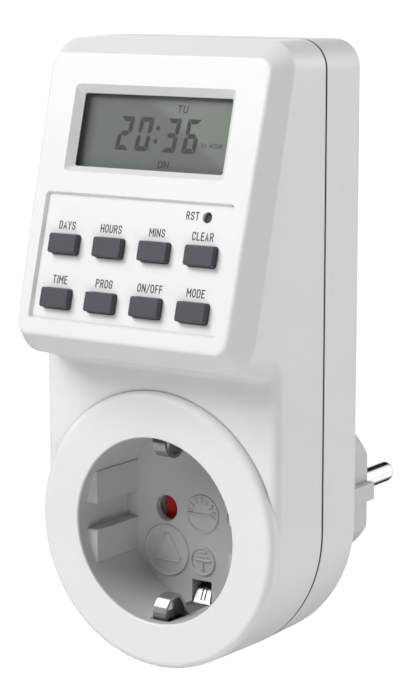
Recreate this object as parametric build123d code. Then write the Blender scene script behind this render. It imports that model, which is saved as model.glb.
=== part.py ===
"""Plug-in timer switch: a socket outlet with a display and keys in front and a plug behind.

Millimetres. The origin is the middle of the plug's contact face, between its two pins.
+X is to the right seen from the front, +Y points to the rear (into the wall), +Z is up.
Depths are worked out from the plug's face forwards, heights from the two axes upwards.
"""

from build123d import *
import os
from math import cos, radians, sin, tan

# ---------------------------------------------------------------- driving dimensions
# Plug (round type with side flats, two pins and side earth contacts)
plug_reach = 18.3  # length of plug body behind the pedestal
plug_radius = 17.7
plug_flat_half_width = plug_radius - 2.45
plug_flat_half_height = 0.55 * plug_radius  # past where the flats run out in the round
plug_rib_half_width = plug_radius - 0.55
plug_rib_half_height = 2.0
plug_edge_radius = 0.8
plug_wall = 1.8
plug_end_wall = 2.4
plug_flange_thickness = 1.3
plug_pocket_half_width = 12.4
plug_pocket_half_height = 13.8
pin_tube_wall = 1.9
pin_collar = 0.9
pin_collar_depth = 0.95
pin_inner_end = 19.0  # collar's front face, from the plug's contact face
plug_earth_half_width = 2.8
plug_earth_from_axis = plug_radius - 2.2
plug_earth_thickness = 1.0
plug_earth_end = 1.3  # short of the contact face
pin_spacing = 19.0
pin_radius = 2.4
pin_root_radius = 2.1  # inside the plug body
pin_mouth_depth = 0.5  # wider mouth of each pin's hole in the plug's face
pin_length = 19.0
pin_tip_radius = 1.5

# Casing
pedestal_depth = 11.2  # round pedestal between rear cover and plug body
pedestal_radius = plug_radius + 3.5
pedestal_wall = 1.9
pedestal_edge_radius = 1.0
rear_depth = 14.35
seam_gap = 0.45
front_depth = 18.5  # from the seam to the face of the socket ring
half_width = 30.15
top_corner_radius = 6.0
socket_rise = 1.4  # socket axis above plug axis
draft_front = 1.5
draft_rear = 1.0
wall = 2.3
edge_radius = 2.2
rear_edge_radius = 1.4
ring_proud = 1.8
ring_edge_radius = 1.6
seam_lip = 1.15
seam_overlap = 2.0
fit_gap = 0.1

# Sloping control panel
panel_angle = 15.06
panel_above_ring = 29.85  # of its reference point above the top of the socket ring
panel_middle_height = half_width + panel_above_ring
panel_middle_proud = 7.39  # of its reference point in front of the ring face
top_above_panel = 42.3
top_above_socket = panel_middle_height + top_above_panel
panel_side_top = 2.85  # from the casing's side to the panel's side
panel_side_bottom = 3.95
panel_half_top = half_width - panel_side_top
panel_half_bottom = half_width - panel_side_bottom
panel_up = 40.3
panel_down = 18.85
panel_corner_radius = 3.0
bevel_depth = 5.5
bevel_out_top = 5.9
bevel_out_bottom = 3.3
bevel_out_side = 3.15
bevel_corner_radius = 6.3
panel_edge_radius = 1.0
panel_wall = 2.8
step_blend_radius = 1.5

# Display
window_depth = 1.64
window_thickness = 1.15
frame_side = 7.3  # from the panel's side to the display opening
frame_half_width = panel_half_top - frame_side
frame_low = 15.55
frame_high = 33.95
glass_half_width = frame_half_width - 1.54
glass_low = 16.95
glass_high = 32.35
window_margin = 1.2
cell_thickness = 2.6
cell_gap = 0.15
holder_wall = 1.1

# Keys
key_pocket_side = 2.66  # from the panel's side to the pocket
key_pocket_half_width = panel_half_bottom - key_pocket_side
key_pocket_low = 15.6
key_pocket_high = 11.13
key_pocket_depth = 0.8
key_pocket_slope = 0.4
key_pocket_end = 6.455  # from the pocket's side to the middle of the outer keys
key_pitch_x = (key_pocket_half_width - key_pocket_end) / 1.5
key_row_high = 0.35
key_row_low = 11.0
key_gap_x = 4.35
key_width = key_pitch_x - key_gap_x
key_height = 4.1
key_proud = 0.75
key_corner_radius = 0.5
key_edge_radius = 0.25
key_clearance = 0.15
key_flange = 0.6
key_flange_thickness = 0.8
key_travel = 0.7
key_mat_gap = 0.8
reset_x = key_pocket_half_width - 6.6
reset_up = 8.2
reset_hole_radius = 1.15
reset_key_radius = 0.95
reset_key_below = 0.9
mat_thickness = 1.0
dome_radius = 1.9

# Socket well
ring_face_width = 10.15  # from the casing's side to the well
well_radius = half_width - ring_face_width
well_depth = 18.17
well_wall = 1.8
floor_thickness = 2.0
lip_thickness = 0.6
lip_edge_radius = 0.3
rib_face = well_radius - 3.0
rib_inner = 3.0
rib_outer = 10.0
rib_front = 3.2
pin_hole_radius = 2.85
pin_hole_lead = 0.25

# Earth strip of the socket
strip_thickness = 0.7
strip_half_width = 2.2
strip_slot_clearance = 0.35
clip_reach = well_radius - 5.1  # top of the contact bow, from the socket axis
clip_seat = well_radius + 0.6  # flat part of the strip, from the socket axis
clip_front = 3.4  # front end of the bow, behind the ring face
clip_length = 7.0
clip_half_width = 1.6
clip_bulge = 0.9  # of the bow's front leg towards the front
clip_bend_radius = 1.1
riser_depth = 1.7  # of the strip's steep part in the floor's slot
riser_top = 2.5  # its upper end, beyond the bow's top
riser_half_width = 1.1
riser_slit = 0.3
slot_cheek = 0.8  # wall beside the floor's slot
slot_cheek_depth = 2.0  # behind the floor

# Shutter behind the pin holes
shutter_half_length = 11.6
shutter_half_height = 3.5
shutter_thickness = 1.2
shutter_front_gap = 1.1
shutter_gap = 0.2
pivot_radius = 1.5
pivot_clearance = 0.06
cover_thickness = 0.8
cover_radius = well_radius - 3.0
cover_half_height = well_radius - 7.4
cover_peg_x = well_radius - 5.6
cover_peg_up = 5.5
cover_peg_radius = 1.2
spring_wire_radius = 0.2
spring_coil_radius = 2.3

# Contacts and insulation behind the socket
carrier_depth = 14.6
carrier_half_width = 15.0
carrier_half_height = 9.0
chamber_half_width = 3.8
chamber_half_height = 4.6
contact_thickness = 0.8
contact_grip = 2.5
strap_thickness = 0.8

# Boards
board_thickness = 1.6
display_board_thickness = 1.2
display_board_side = 4.95  # from the casing's side to the display board
display_board_half_width = half_width - display_board_side
display_board_low = 18.6
display_board_high = 36.0
display_board_depth = 7.2  # front of the display board below the panel face
main_board_side = 5.65  # from the casing's side to the main board
main_board_half_width = half_width - main_board_side
main_board_low = 36.0
main_board_top = 10.3  # from the casing's top to the main board
main_board_high = top_above_socket - main_board_top
main_board_height = main_board_high - main_board_low
main_screw_margin_x = 3.0
main_screw_margin_z = 4.0
main_post_radius = 2.5
main_board_gap = 3.8  # from the rear cover's inside
board_screw_x = display_board_half_width - 2.3
board_screw_high = 33.4
board_screw_low = 16.4
board_boss_radius = 2.1
board_screw_radius = 1.0
board_screw_length = 4.6
board_screw_head = 1.1

# Casing screws
case_boss_radius = 2.9
case_post_radius = 3.4
case_screw_side = 5.75  # from the casing's side to the upper screws
case_screw_top = 5.4  # from the casing's top to the upper screws
case_screw_top_x = half_width - case_screw_side
case_screw_top_height = top_above_socket - case_screw_top
case_screw_low_gap = 0.3  # between the lower posts and the well's wall
case_screw_low_radius = well_radius + well_wall + case_post_radius + case_screw_low_gap
insert_post_radius = 1.6
insert_post_angle = 40.0
case_screw_radius = 1.45
case_screw_head_radius = 2.7
case_screw_length = 17.6
screw_fit = 0.15
head_recess = 3.2

# Relay
relay_width = 16.0
relay_height = 21.2
relay_depth = 14.8
relay_x = -(main_board_half_width - 7.5)
relay_low = main_board_low + main_board_height / 7
relay_wall = 0.8
relay_base_thickness = 1.25
coil_radius = 4.2
coil_flange_radius = 4.9
coil_length = 11.6
core_radius = 2.0
armature_gap = 0.9
armature_swing = 5.5

# Components on the boards. Sides are from the main board's edge, shares are of its height
film_cap_width = 18.0
film_cap_depth = 12.0
film_cap_height = 8.5
film_cap_side = 3.0
film_cap_share = 0.61
electrolytic_radius = 4.0
electrolytic_length = 12.0
electrolytic_side = 15.5
electrolytic_share = 0.68
varistor_radius = 4.5
varistor_thickness = 3.5
varistor_x = -1.0
varistor_share = 0.25
varistor_lead_spacing = 5.0
axial_lead_radius = 0.3
axial_lead_reach = 1.2  # beyond each end of the barrel
axial_lift = 0.4  # above the board
resistor_radius = 1.7
resistor_length = 9.0
resistor_side = 11.0
resistor_share = 0.232
resistor_pitch = main_board_height / 11.2
diode_radius = 1.3
diode_length = 5.0
diode_side = 6.5
diode_share = 0.616
diode_pitch = main_board_height / 14
chip_width = 10.0
chip_thickness = 1.6
chip_x = -4.0
chip_up = 8.0
chip_leads = 6
chip_lead_pitch = 1.5
crystal_radius = 1.5
crystal_length = 8.0
crystal_x = 9.0
crystal_up = 12.0
link_up = 26.0  # flat lead between the boards, up the panel
link_width = 5.0
link_thickness = 0.7
backup_cell_radius = 7.7
backup_cell_height = 6.0
backup_cell_x = 10.0
backup_cell_up = -4.0
cell_tab_width = 4.0
cell_tab_thickness = 0.4
cell_rest_height = 1.0  # of the upper tab, between the cell and the board

# ---------------------------------------------------------------- places along the depth
y_pedestal = -plug_reach
y_back = y_pedestal - pedestal_depth
y_rear_seam = y_back - rear_depth
y_seam = y_rear_seam - seam_gap
y_ring = y_seam - front_depth
y_step = y_ring + ring_proud
y_back_inside = y_back - wall
y_floor = y_ring + well_depth
y_floor_back = y_floor + floor_thickness
y_shutter = y_floor_back + shutter_front_gap
y_shutter_back = y_shutter + shutter_thickness
y_cover = y_shutter_back + shutter_gap
y_cover_back = y_cover + cover_thickness
y_earth_bar = y_cover_back + shutter_gap
y_carrier = y_earth_bar + strip_thickness + shutter_gap
y_carrier_back = y_carrier + carrier_depth
y_contact_back = y_carrier_back + contact_thickness
y_main_board = y_back_inside - main_board_gap - board_thickness
y_main_board_back = y_main_board + board_thickness
y_plug_flange = y_pedestal - pedestal_wall - plug_flange_thickness
y_collar = -pin_inner_end
y_plug_earth_bar = y_plug_flange - fit_gap - plug_earth_thickness
y_strap = (y_contact_back + y_plug_flange) / 2
z_socket = socket_rise
z_top = z_socket + top_above_socket
pin_x = pin_spacing / 2
far = 2 * z_top

# Depths below the panel's face
w_inside = -panel_wall
w_flange = w_inside - fit_gap / 2
w_key_foot = w_flange - key_flange_thickness
w_dome = w_key_foot - key_mat_gap
w_board = -display_board_depth
w_board_back = w_board - display_board_thickness
w_window_back = -window_depth - window_thickness
w_cell = w_window_back - cell_gap
w_cell_back = w_cell - cell_thickness
w_pocket = -key_pocket_depth

slope = radians(panel_angle)
panel = Plane(
    origin=(0, y_ring - panel_middle_proud, z_socket + panel_middle_height),
    x_dir=(1, 0, 0),
    z_dir=(0, -cos(slope), sin(slope)),
)

case_screw_spots = [
    (side * case_screw_top_x, z_socket + case_screw_top_height) for side in (-1, 1)
] + [
    (
        side * case_screw_low_radius * sin(radians(45)),
        z_socket - case_screw_low_radius * cos(radians(45)),
    )
    for side in (-1, 1)
]
display_screw_spots = [
    (side * board_screw_x, up)
    for side in (-1, 1)
    for up in (board_screw_high, -board_screw_low)
]
main_screw_spots = [
    (side * (main_board_half_width - main_screw_margin_x), z_socket + height)
    for side in (-1, 1)
    for height in (main_board_low + main_screw_margin_z, main_board_high - main_screw_margin_z)
]
key_names = ("day", "hour", "minute", "clear", "set", "program", "on_off", "mode")
key_spots = [
    ((column - 1.5) * key_pitch_x, up) for up in (key_row_high, -key_row_low) for column in range(4)
]


# ---------------------------------------------------------------- small helpers
def at_y(y):
    """Drawing plane across the depth at y. Its normal points to the front."""
    return Plane.XZ.offset(-y)


def rear_at_y(y):
    """Drawing plane across the depth at y. Its normal points to the rear."""
    return Plane(origin=(0, y, 0), x_dir=(-1, 0, 0), z_dir=(0, 1, 0))


def block(x, y, z):
    """Box from three (low, high) pairs."""
    size = (x[1] - x[0], y[1] - y[0], z[1] - z[0])
    middle = ((x[0] + x[1]) / 2, (y[0] + y[1]) / 2, (z[0] + z[1]) / 2)
    return Pos(*middle) * Box(*size)


def rod(x, z, radius, y_from, y_to):
    """Round bar along the depth."""
    return extrude(at_y(y_to) * Pos(x, z) * Circle(radius), amount=y_to - y_from)


def panel_rod(u, v, radius, w_from, w_to):
    """Round bar square to the panel, from depth w_from out to w_to."""
    return panel * Pos(u, v, w_from) * extrude(Circle(radius), amount=w_to - w_from)


def panel_plate(half_width, low, high, corner, w_from, w_to):
    """Plate with rounded corners in the panel's frame, between two depths."""
    sketch = Pos(0, (low + high) / 2) * RectangleRounded(2 * half_width, high - low, corner)
    return panel * Pos(0, 0, w_from) * extrude(sketch, amount=w_to - w_from)


def panel_funnel(outer, inner, depth):
    """Opening with sloping sides from the face down to a depth. Sizes: half width, low, high."""
    faces = [
        panel * Pos(0, (low + high) / 2, -w) * RectangleRounded(2 * half, high - low, corner)
        for (half, low, high), corner, w in ((outer, 0.9, 0), (inner, 0.5, depth))
    ]
    return loft(faces, ruled=True)


def strip(points, bend_radius, thickness, x_from, x_to):
    """Sheet strip whose middle line runs through (y, z) points with rounded bends."""
    middle = (x_from + x_to) / 2
    path = FilletPolyline(*[(middle, y, z) for y, z in points], radius=bend_radius)
    start = Plane(origin=path @ 0, x_dir=(1, 0, 0), z_dir=path % 0)
    return sweep(start * Rectangle(x_to - x_from, thickness), path=path)


def screw(x, z, y_head, length, radius, head_radius, head_height):
    """Pan-head screw along the depth: head towards the rear, tip towards the front."""
    body = rod(x, z, radius, y_head - length, y_head)
    head = rod(x, z, head_radius, y_head, y_head + head_height)
    head = fillet(head.edges().group_by(Axis.Y)[-1], head_height / 3)
    slot = block(
        (x - head_radius * 0.7, x + head_radius * 0.7),
        (y_head + head_height * 0.5, y_head + head_height),
        (z - head_radius * 0.12, z + head_radius * 0.12),
    )
    cross = slot + Pos(x, 0, z) * Rot(0, 90, 0) * Pos(-x, 0, -z) * slot
    return body + head - cross


# ---------------------------------------------------------------- casing
def casing_outline(inset=0.0):
    """Casing seen from the front: half round below, square above with rounded corners."""
    radius = half_width - inset
    height = top_above_socket - inset
    shape = Pos(0, z_socket) * Circle(radius)
    shape += Pos(0, z_socket + height / 2) * Rectangle(2 * radius, height)
    corners = shape.vertices().group_by(Axis.Y)[-1]
    return fillet(corners, max(top_corner_radius - inset, 1.0))


def panel_outline(out_top, out_bottom, out_side, corner_radius, depth):
    """Panel's border, widened on each side, at a depth below the face."""
    top = panel_up + out_top
    bottom = -panel_down - out_bottom
    half_top = panel_half_top + out_side
    half_bottom = panel_half_bottom + out_side
    border = Polygon(
        (-half_bottom, bottom), (half_bottom, bottom), (half_top, top), (-half_top, top),
        align=None,
    )
    return panel * Pos(0, 0, -depth) * fillet(border.vertices(), corner_radius)


def depths_below_panel(edge):
    """Depth below the panel's face at points along an edge."""
    return [-panel.to_local_coords(edge @ (step / 4)).Z for step in range(5)]


def edges_on_step(shape):
    """Edges that lie on the front face around the socket ring."""
    return shape.edges().filter_by_position(Axis.Y, y_step - 0.02, y_step + 0.02)


front_reach = front_depth + 2 * panel_middle_proud + panel_down
step_top = z_socket + panel_middle_height - panel_down + edge_radius


def front_prism(inset=0.0):
    """Casing outline drawn forwards with draft, past the front of the panel."""
    return extrude(at_y(y_seam) * casing_outline(inset), amount=front_reach, taper=draft_front)


def front_outer():
    """Outer form of the front cover, solid."""
    prism = front_prism()
    lower = prism & block((-far, far), (y_step, y_seam), (-far, step_top))

    face = panel_outline(0, 0, 0, panel_corner_radius, 0)
    shoulder = panel_outline(
        bevel_out_top, bevel_out_bottom, bevel_out_side, bevel_corner_radius, bevel_depth
    )
    reach = 2 * front_depth
    back = panel_outline(
        bevel_out_top + reach * sin(slope),
        bevel_out_bottom - reach * tan(radians(draft_front)),
        bevel_out_side + reach * tan(radians(2 * draft_front)),
        bevel_corner_radius,
        bevel_depth + reach,
    )
    wedge = loft([face, shoulder], ruled=True) + loft([shoulder, back], ruled=True)
    wedge = wedge & prism & block((-far, far), (-far, y_seam), (-far, far))

    outer = lower + wedge
    ring_top = z_socket + half_width
    outer = fillet(edges_on_step(outer).filter_by_position(Axis.Z, ring_top, far), step_blend_radius)
    outer = fillet(edges_on_step(outer).filter_by_position(Axis.Z, -far, ring_top), edge_radius)

    ring = extrude(
        at_y(y_seam) * Pos(0, z_socket) * Circle(half_width), amount=front_depth, taper=draft_front
    )
    ring = fillet(ring.edges().group_by(Axis.Y)[0], ring_edge_radius)
    outer += ring
    panel_edges = [
        edge
        for edge in outer.edges()
        if max(abs(depth) for depth in depths_below_panel(edge)) < 0.01
        or (
            min(depths_below_panel(edge)) > 0.1
            and max(depths_below_panel(edge)) < bevel_depth + 0.05
            and edge.length > 2 * panel_edge_radius
        )
    ]
    return fillet(panel_edges, panel_edge_radius)


def front_cavity():
    """Room inside the front cover, one wall behind its outer faces."""
    room = block((-far, far), (y_step + wall, y_seam), (-far, step_top))
    room += rod(0, z_socket, half_width - wall - ring_edge_radius, y_ring + wall, y_seam)
    shoulder = panel_outline(
        bevel_out_top - wall, bevel_out_bottom - wall, bevel_out_side - wall,
        bevel_corner_radius - wall, bevel_depth + wall / 2,
    )
    under_face = panel_outline(-wall / 2, -wall / 2, -wall / 3, panel_corner_radius, panel_wall)
    deep = panel_outline(
        far, bevel_out_bottom - wall, bevel_out_side - wall, bevel_corner_radius - wall,
        bevel_depth + wall,
    )
    room += loft([under_face, shoulder], ruled=True)
    room += extrude(shoulder, amount=-wall / 2)
    room += extrude(deep, amount=-far)
    return room & front_prism(wall)


def front_shell():
    outer = front_outer()
    shell = outer - front_cavity()
    bosses = [rod(x, z, case_boss_radius, -far, y_seam) for x, z in case_screw_spots]
    bosses += [
        panel_rod(u, v, board_boss_radius, w_board + fit_gap / 2, 0)
        for u, v in display_screw_spots
    ]
    shell += [boss & outer for boss in bosses]

    rebate = extrude(
        at_y(y_seam) * (casing_outline(seam_lip) - casing_outline(wall + fit_gap)),
        amount=seam_overlap,
    )
    well = rod(0, z_socket, well_radius, y_ring - 1, y_seam)
    well += rod(0, z_socket, well_radius + well_wall + fit_gap, y_ring + lip_thickness, y_seam)
    frame_opening = panel_funnel(
        (frame_half_width, frame_low, frame_high), (glass_half_width, glass_low, glass_high),
        window_depth,
    )
    window_seat = panel_plate(
        glass_half_width + window_margin, glass_low - window_margin, glass_high + window_margin,
        0.6, w_inside - 1, -window_depth,
    )
    key_pocket = panel_funnel(
        (key_pocket_half_width, -key_pocket_low, key_pocket_high),
        (
            key_pocket_half_width - key_pocket_slope,
            -key_pocket_low + key_pocket_slope,
            key_pocket_high - key_pocket_slope,
        ),
        key_pocket_depth,
    )
    shell -= [rebate, well, frame_opening, window_seat, key_pocket]
    key_hole = RectangleRounded(
        key_width + 2 * key_clearance, key_height + 2 * key_clearance,
        key_corner_radius + key_clearance,
    )
    shell -= [
        panel * Pos(u, v, w_inside - 1) * extrude(key_hole, amount=panel_wall + 2)
        for u, v in key_spots
    ]
    shell -= panel_rod(reset_x, reset_up, reset_hole_radius, w_inside - 1, 1)
    pilots = [
        rod(x, z, case_screw_radius + fit_gap / 2, y_seam - case_screw_length / 2, y_seam + 1)
        for x, z in case_screw_spots
    ]
    pilots += [
        panel_rod(
            u, v, board_screw_radius + fit_gap / 2, w_board - 1,
            w_board_back + board_screw_length + fit_gap,
        )
        for u, v in display_screw_spots
    ]
    shell -= pilots
    rim = [
        edge
        for edge in shell.edges().filter_by(GeomType.CIRCLE)
        if abs(edge.radius - well_radius) < 0.01 and abs(edge.center().Y - y_ring) < 0.01
    ]
    return fillet(rim, lip_edge_radius)


def rear_shell():
    outline = rear_at_y(y_rear_seam) * casing_outline()
    outer = extrude(outline, amount=rear_depth, taper=draft_rear)
    outer = fillet(outer.edges().group_by(Axis.Y)[-1], rear_edge_radius)
    pedestal = rod(0, 0, pedestal_radius, y_back - wall / 2, y_pedestal)
    pedestal = fillet(pedestal.edges().group_by(Axis.Y)[-1], pedestal_edge_radius)
    shell = outer + pedestal
    shell -= extrude(
        rear_at_y(y_rear_seam) * casing_outline(wall), amount=rear_depth - wall, taper=draft_rear
    )
    inner_radius = pedestal_radius - pedestal_wall
    shell -= rod(0, 0, inner_radius, y_rear_seam, y_pedestal - pedestal_wall)
    shell -= rod(0, 0, plug_radius + fit_gap, y_rear_seam, 0)
    tongue = extrude(
        at_y(y_rear_seam)
        * (casing_outline(seam_lip + fit_gap) - casing_outline(wall)),
        amount=seam_gap + seam_overlap - fit_gap,
    )
    shell += tongue
    posts = [
        rod(x, z, case_post_radius, y_seam + fit_gap / 2, y_back_inside) & (
            outer + extrude(at_y(y_rear_seam) * casing_outline(wall), amount=seam_gap)
        )
        for x, z in case_screw_spots
    ]
    posts += [
        rod(
            side * (well_radius + well_wall / 2) * cos(radians(insert_post_angle)),
            z_socket + up * (well_radius + well_wall / 2) * sin(radians(insert_post_angle)),
            insert_post_radius, y_floor_back + fit_gap / 2, y_back_inside,
        )
        for side in (-1, 1)
        for up in (-1, 1)
    ]
    posts += [
        rod(x, z, main_post_radius, y_main_board_back, y_back_inside) for x, z in main_screw_spots
    ]
    shell += posts
    shell -= [
        rod(x, z, case_screw_radius + screw_fit, y_seam - 1, y_back) for x, z in case_screw_spots
    ]
    shell -= [
        rod(x, z, case_screw_head_radius + screw_fit, y_back - head_recess, y_back + 1)
        for x, z in case_screw_spots
    ]
    shell -= [
        rod(
            x, z, board_screw_radius + fit_gap / 2, y_main_board,
            y_main_board + board_screw_length + fit_gap,
        )
        for x, z in main_screw_spots
    ]
    return shell


def case_screws():
    return [
        screw(
            x, z, y_back - head_recess, case_screw_length, case_screw_radius,
            case_screw_head_radius, 1.7,
        )
        for x, z in case_screw_spots
    ]


# ---------------------------------------------------------------- plug
def plug_body():
    y_from = y_plug_flange
    body = rod(0, 0, plug_radius, y_from, 0)
    body = fillet(body.edges().group_by(Axis.Y)[-1], plug_edge_radius)
    for side in (-1, 1):
        for low, high in (
            (plug_rib_half_height, plug_flat_half_height),
            (-plug_flat_half_height, -plug_rib_half_height),
        ):
            near, out = sorted((side * plug_flat_half_width, side * 2 * plug_radius))
            body -= block((near, out), (y_pedestal, 1), (low, high))
        near, out = sorted((side * plug_rib_half_width, side * 2 * plug_radius))
        body -= block(
            (near, out), (y_pedestal, 1), (-plug_flat_half_height, plug_flat_half_height)
        )
        groove = sorted((side * (plug_earth_from_axis - fit_gap / 2), side * 2 * plug_radius))
        half = plug_earth_half_width + 0.6
        body -= block((-half, half), (y_from - 1, 1), groove)
    flange = rod(
        0, 0, pedestal_radius - pedestal_wall - screw_fit, y_from, y_from + plug_flange_thickness
    )
    for side in (-1, 1):
        slot = sorted((
            side * (plug_earth_from_axis - fit_gap / 2),
            side * (plug_earth_from_axis + plug_earth_thickness + fit_gap),
        ))
        half = plug_earth_half_width + fit_gap
        flange -= block((-half, half), (y_from - 1, y_from + plug_flange_thickness + 1), slot)
    body += flange

    pocket = block(
        (-plug_pocket_half_width, plug_pocket_half_width), (y_from, -plug_end_wall),
        (-plug_pocket_half_height, plug_pocket_half_height),
    ) & rod(0, 0, plug_radius - plug_wall, y_from, -plug_end_wall)
    tube_front = y_collar + pin_collar_depth
    for side in (-1, 1):
        pocket -= rod(side * pin_x, 0, pin_radius + pin_tube_wall, tube_front, 0)
    body -= pocket
    for side in (-1, 1):
        body -= rod(side * pin_x, 0, pin_root_radius + fit_gap / 2, y_from, 1)
        body -= rod(side * pin_x, 0, pin_radius + fit_gap / 2, -pin_mouth_depth, 1)
        body -= rod(side * pin_x, 0, pin_radius + pin_collar + fit_gap, y_from, tube_front)
    return body


def plug_pin(side):
    """Solid pin with a round nose, a thinner root through the plug and a collar inside it."""
    shank = rod(side * pin_x, 0, pin_radius, 0, pin_length)
    shank = fillet(shank.edges().group_by(Axis.Y)[-1], pin_tip_radius)
    shank += rod(side * pin_x, 0, pin_root_radius, y_collar, 0)
    collar = rod(side * pin_x, 0, pin_radius + pin_collar, y_collar, y_collar + pin_collar_depth)
    return shank + collar


def plug_earth_clips():
    """U-shaped strip: a bar inside the pedestal and a leg in each side groove of the plug."""
    half = plug_earth_half_width
    outside = plug_earth_from_axis + plug_earth_thickness
    bar = block(
        (-half, half), (y_plug_earth_bar, y_plug_earth_bar + plug_earth_thickness),
        (-outside, outside),
    )
    for side in (-1, 1):
        reach = sorted((side * plug_earth_from_axis, side * outside))
        leg = block((-half, half), (y_plug_earth_bar, -plug_earth_end), reach)
        bar += leg
    corners = [
        edge for edge in bar.edges().filter_by(Axis.X)
        if edge.center().Y < y_plug_earth_bar + 0.01 or edge.center().Y > -plug_earth_end - 0.01
    ]
    return fillet(corners, plug_earth_thickness * 0.4)


# ---------------------------------------------------------------- socket well
def socket_insert():
    y_front = y_ring + lip_thickness + fit_gap / 4
    cup = rod(0, z_socket, well_radius + well_wall, y_front, y_floor_back)
    hollow = rod(0, z_socket, well_radius, y_front, y_floor)
    for side in (-1, 1):
        for up in (-1, 1):
            across = sorted((side * rib_face, side * 2 * well_radius))
            upright = sorted((z_socket + up * rib_inner, z_socket + up * rib_outer))
            hollow -= block(across, (y_ring + rib_front, y_floor), upright)
    cup -= hollow
    slot_half = strip_half_width + strip_slot_clearance
    for up in (-1, 1):
        wall_slot = sorted((
            z_socket + up * (well_radius - 1.0), z_socket + up * (well_radius + 2 * well_wall)
        ))
        cup -= block(
            (-slot_half, slot_half), (y_ring + clip_front - 0.9, y_floor_back + 1), wall_slot
        )
        floor_slot = sorted((z_socket + up * clip_reach, z_socket + up * well_radius))
        for side in (-1, 1):
            cheek = sorted((side * slot_half, side * (slot_half + slot_cheek)))
            cup += block(cheek, (y_floor, y_floor_back + slot_cheek_depth), floor_slot)
        cup -= block((-slot_half, slot_half), (y_floor - 1, y_floor_back + 1), floor_slot)
    for side in (-1, 1):
        cup -= rod(side * pin_x, z_socket, pin_hole_radius, y_floor - 1, y_floor_back + 1)
    lead = [
        edge
        for edge in cup.edges().filter_by(GeomType.CIRCLE)
        if abs(edge.radius - pin_hole_radius) < 0.01 and abs(edge.center().Y - y_floor) < 0.01
    ]
    cup = chamfer(lead, pin_hole_lead)
    cup += rod(0, z_socket, pivot_radius, y_floor_back - 0.5, y_cover_back)
    for side in (-1, 1):
        for up in (-1, 1):
            spot = (side * cover_peg_x, z_socket + up * cover_peg_up)
            cup += rod(*spot, cover_peg_radius + 0.7, y_floor_back - 0.5, y_cover)
            cup += rod(*spot, cover_peg_radius, y_floor_back - 0.5, y_cover_back)
    return cup


def socket_earth_strip():
    """One bent strip: a bow in each side slot of the well, a bar across its back and a tongue."""
    flat = clip_seat
    y_front = y_ring + clip_front
    y_bar = y_earth_bar + strip_thickness / 2
    top = clip_reach + strip_thickness / 2
    rise = flat - top
    bow = [
        (y_front - 0.1, flat + 0.1),
        (y_front - clip_bulge, flat - 0.35 * rise),
        (y_front - 0.4 * clip_bulge, flat - 0.67 * rise),
        (y_front + 0.12 * clip_length, flat - 0.91 * rise),
        (y_front + 0.36 * clip_length, top),
        (y_front + 0.62 * clip_length, top + 0.15),
        (y_front + 0.85 * clip_length, flat - 0.55 * rise),
        (y_front + clip_length, flat),
        (y_floor, flat),
        (y_floor + riser_depth, clip_reach + riser_top),
        (y_bar, clip_reach + 1.2),
    ]
    upper = [(y, z_socket + z) for y, z in bow]
    lower = [(y, z_socket - z) for y, z in reversed(bow)]
    half = strip_half_width
    sheet = strip(upper + lower, clip_bend_radius, strip_thickness, -half, half)
    for side in (-1, 1):
        across = sorted((side * clip_half_width, side * 2 * half))
        sheet -= block(across, (y_ring, y_front + clip_length + 0.3), (-far, far))
        slit = sorted((side * riser_slit, side * 2 * riser_slit))
        for up in (-1, 1):
            riser = sorted((z_socket + up * clip_reach, z_socket + up * 2 * flat))
            sheet -= block(slit, (y_floor + 0.2, y_floor + riser_depth), riser)
            taper = Polygon(
                (side * half, up * flat), (side * 2 * half, up * flat),
                (side * 2 * half, up * clip_reach), (side * riser_half_width, up * clip_reach),
                align=None,
            )
            plane = at_y(y_floor + 2 * riser_depth)
            sheet -= extrude(plane * Pos(0, z_socket) * taper, amount=2 * riser_depth)
    tongue = block(
        (-half + fit_gap, half - fit_gap), (y_earth_bar, y_plug_earth_bar),
        (z_socket - strip_thickness / 2, z_socket + strip_thickness / 2),
    )
    return sheet + tongue


def shutter_plate():
    plate = extrude(
        at_y(y_shutter_back) * Pos(0, z_socket)
        * RectangleRounded(2 * shutter_half_length, 2 * shutter_half_height, 0.8),
        amount=shutter_thickness,
    )
    return plate - rod(0, z_socket, pivot_radius + pivot_clearance, y_shutter - 1, y_shutter_back + 1)


def shutter_cover():
    plate = rod(0, z_socket, cover_radius, y_cover, y_cover_back)
    plate &= block(
        (-far, far), (y_cover, y_cover_back),
        (z_socket - cover_half_height, z_socket + cover_half_height),
    )
    for side in (-1, 1):
        plate -= rod(side * pin_x, z_socket, pin_hole_radius + 0.4, y_cover - 1, y_cover_back + 1)
        for up in (-1, 1):
            plate -= rod(
                side * cover_peg_x, z_socket + up * cover_peg_up, cover_peg_radius + fit_gap / 2,
                y_cover - 1, y_cover_back + 1,
            )
    return plate - rod(0, z_socket, pivot_radius + pivot_clearance, y_cover - 1, y_cover_back + 1)


def shutter_spring():
    """Torsion spring round the pivot, between the well's floor and the shutter."""
    middle = (y_floor_back + y_shutter) / 2
    pitch = 2.2 * spring_wire_radius
    turns = Plane(origin=(0, middle - pitch / 2, z_socket), x_dir=(1, 0, 0), z_dir=(0, 1, 0))
    path = turns * Helix(pitch=pitch, height=pitch, radius=spring_coil_radius)
    start = Plane(origin=path @ 0, z_dir=path % 0)
    coil = sweep(start * Circle(spring_wire_radius), path=path, is_frenet=True)
    leg = 2 * spring_coil_radius
    for end, low, high in ((0, 0, leg), (1, -leg, 0)):
        coil += round_z(
            spring_coil_radius, (path @ end).Y, spring_wire_radius, z_socket + low, z_socket + high
        )
    return coil


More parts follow.
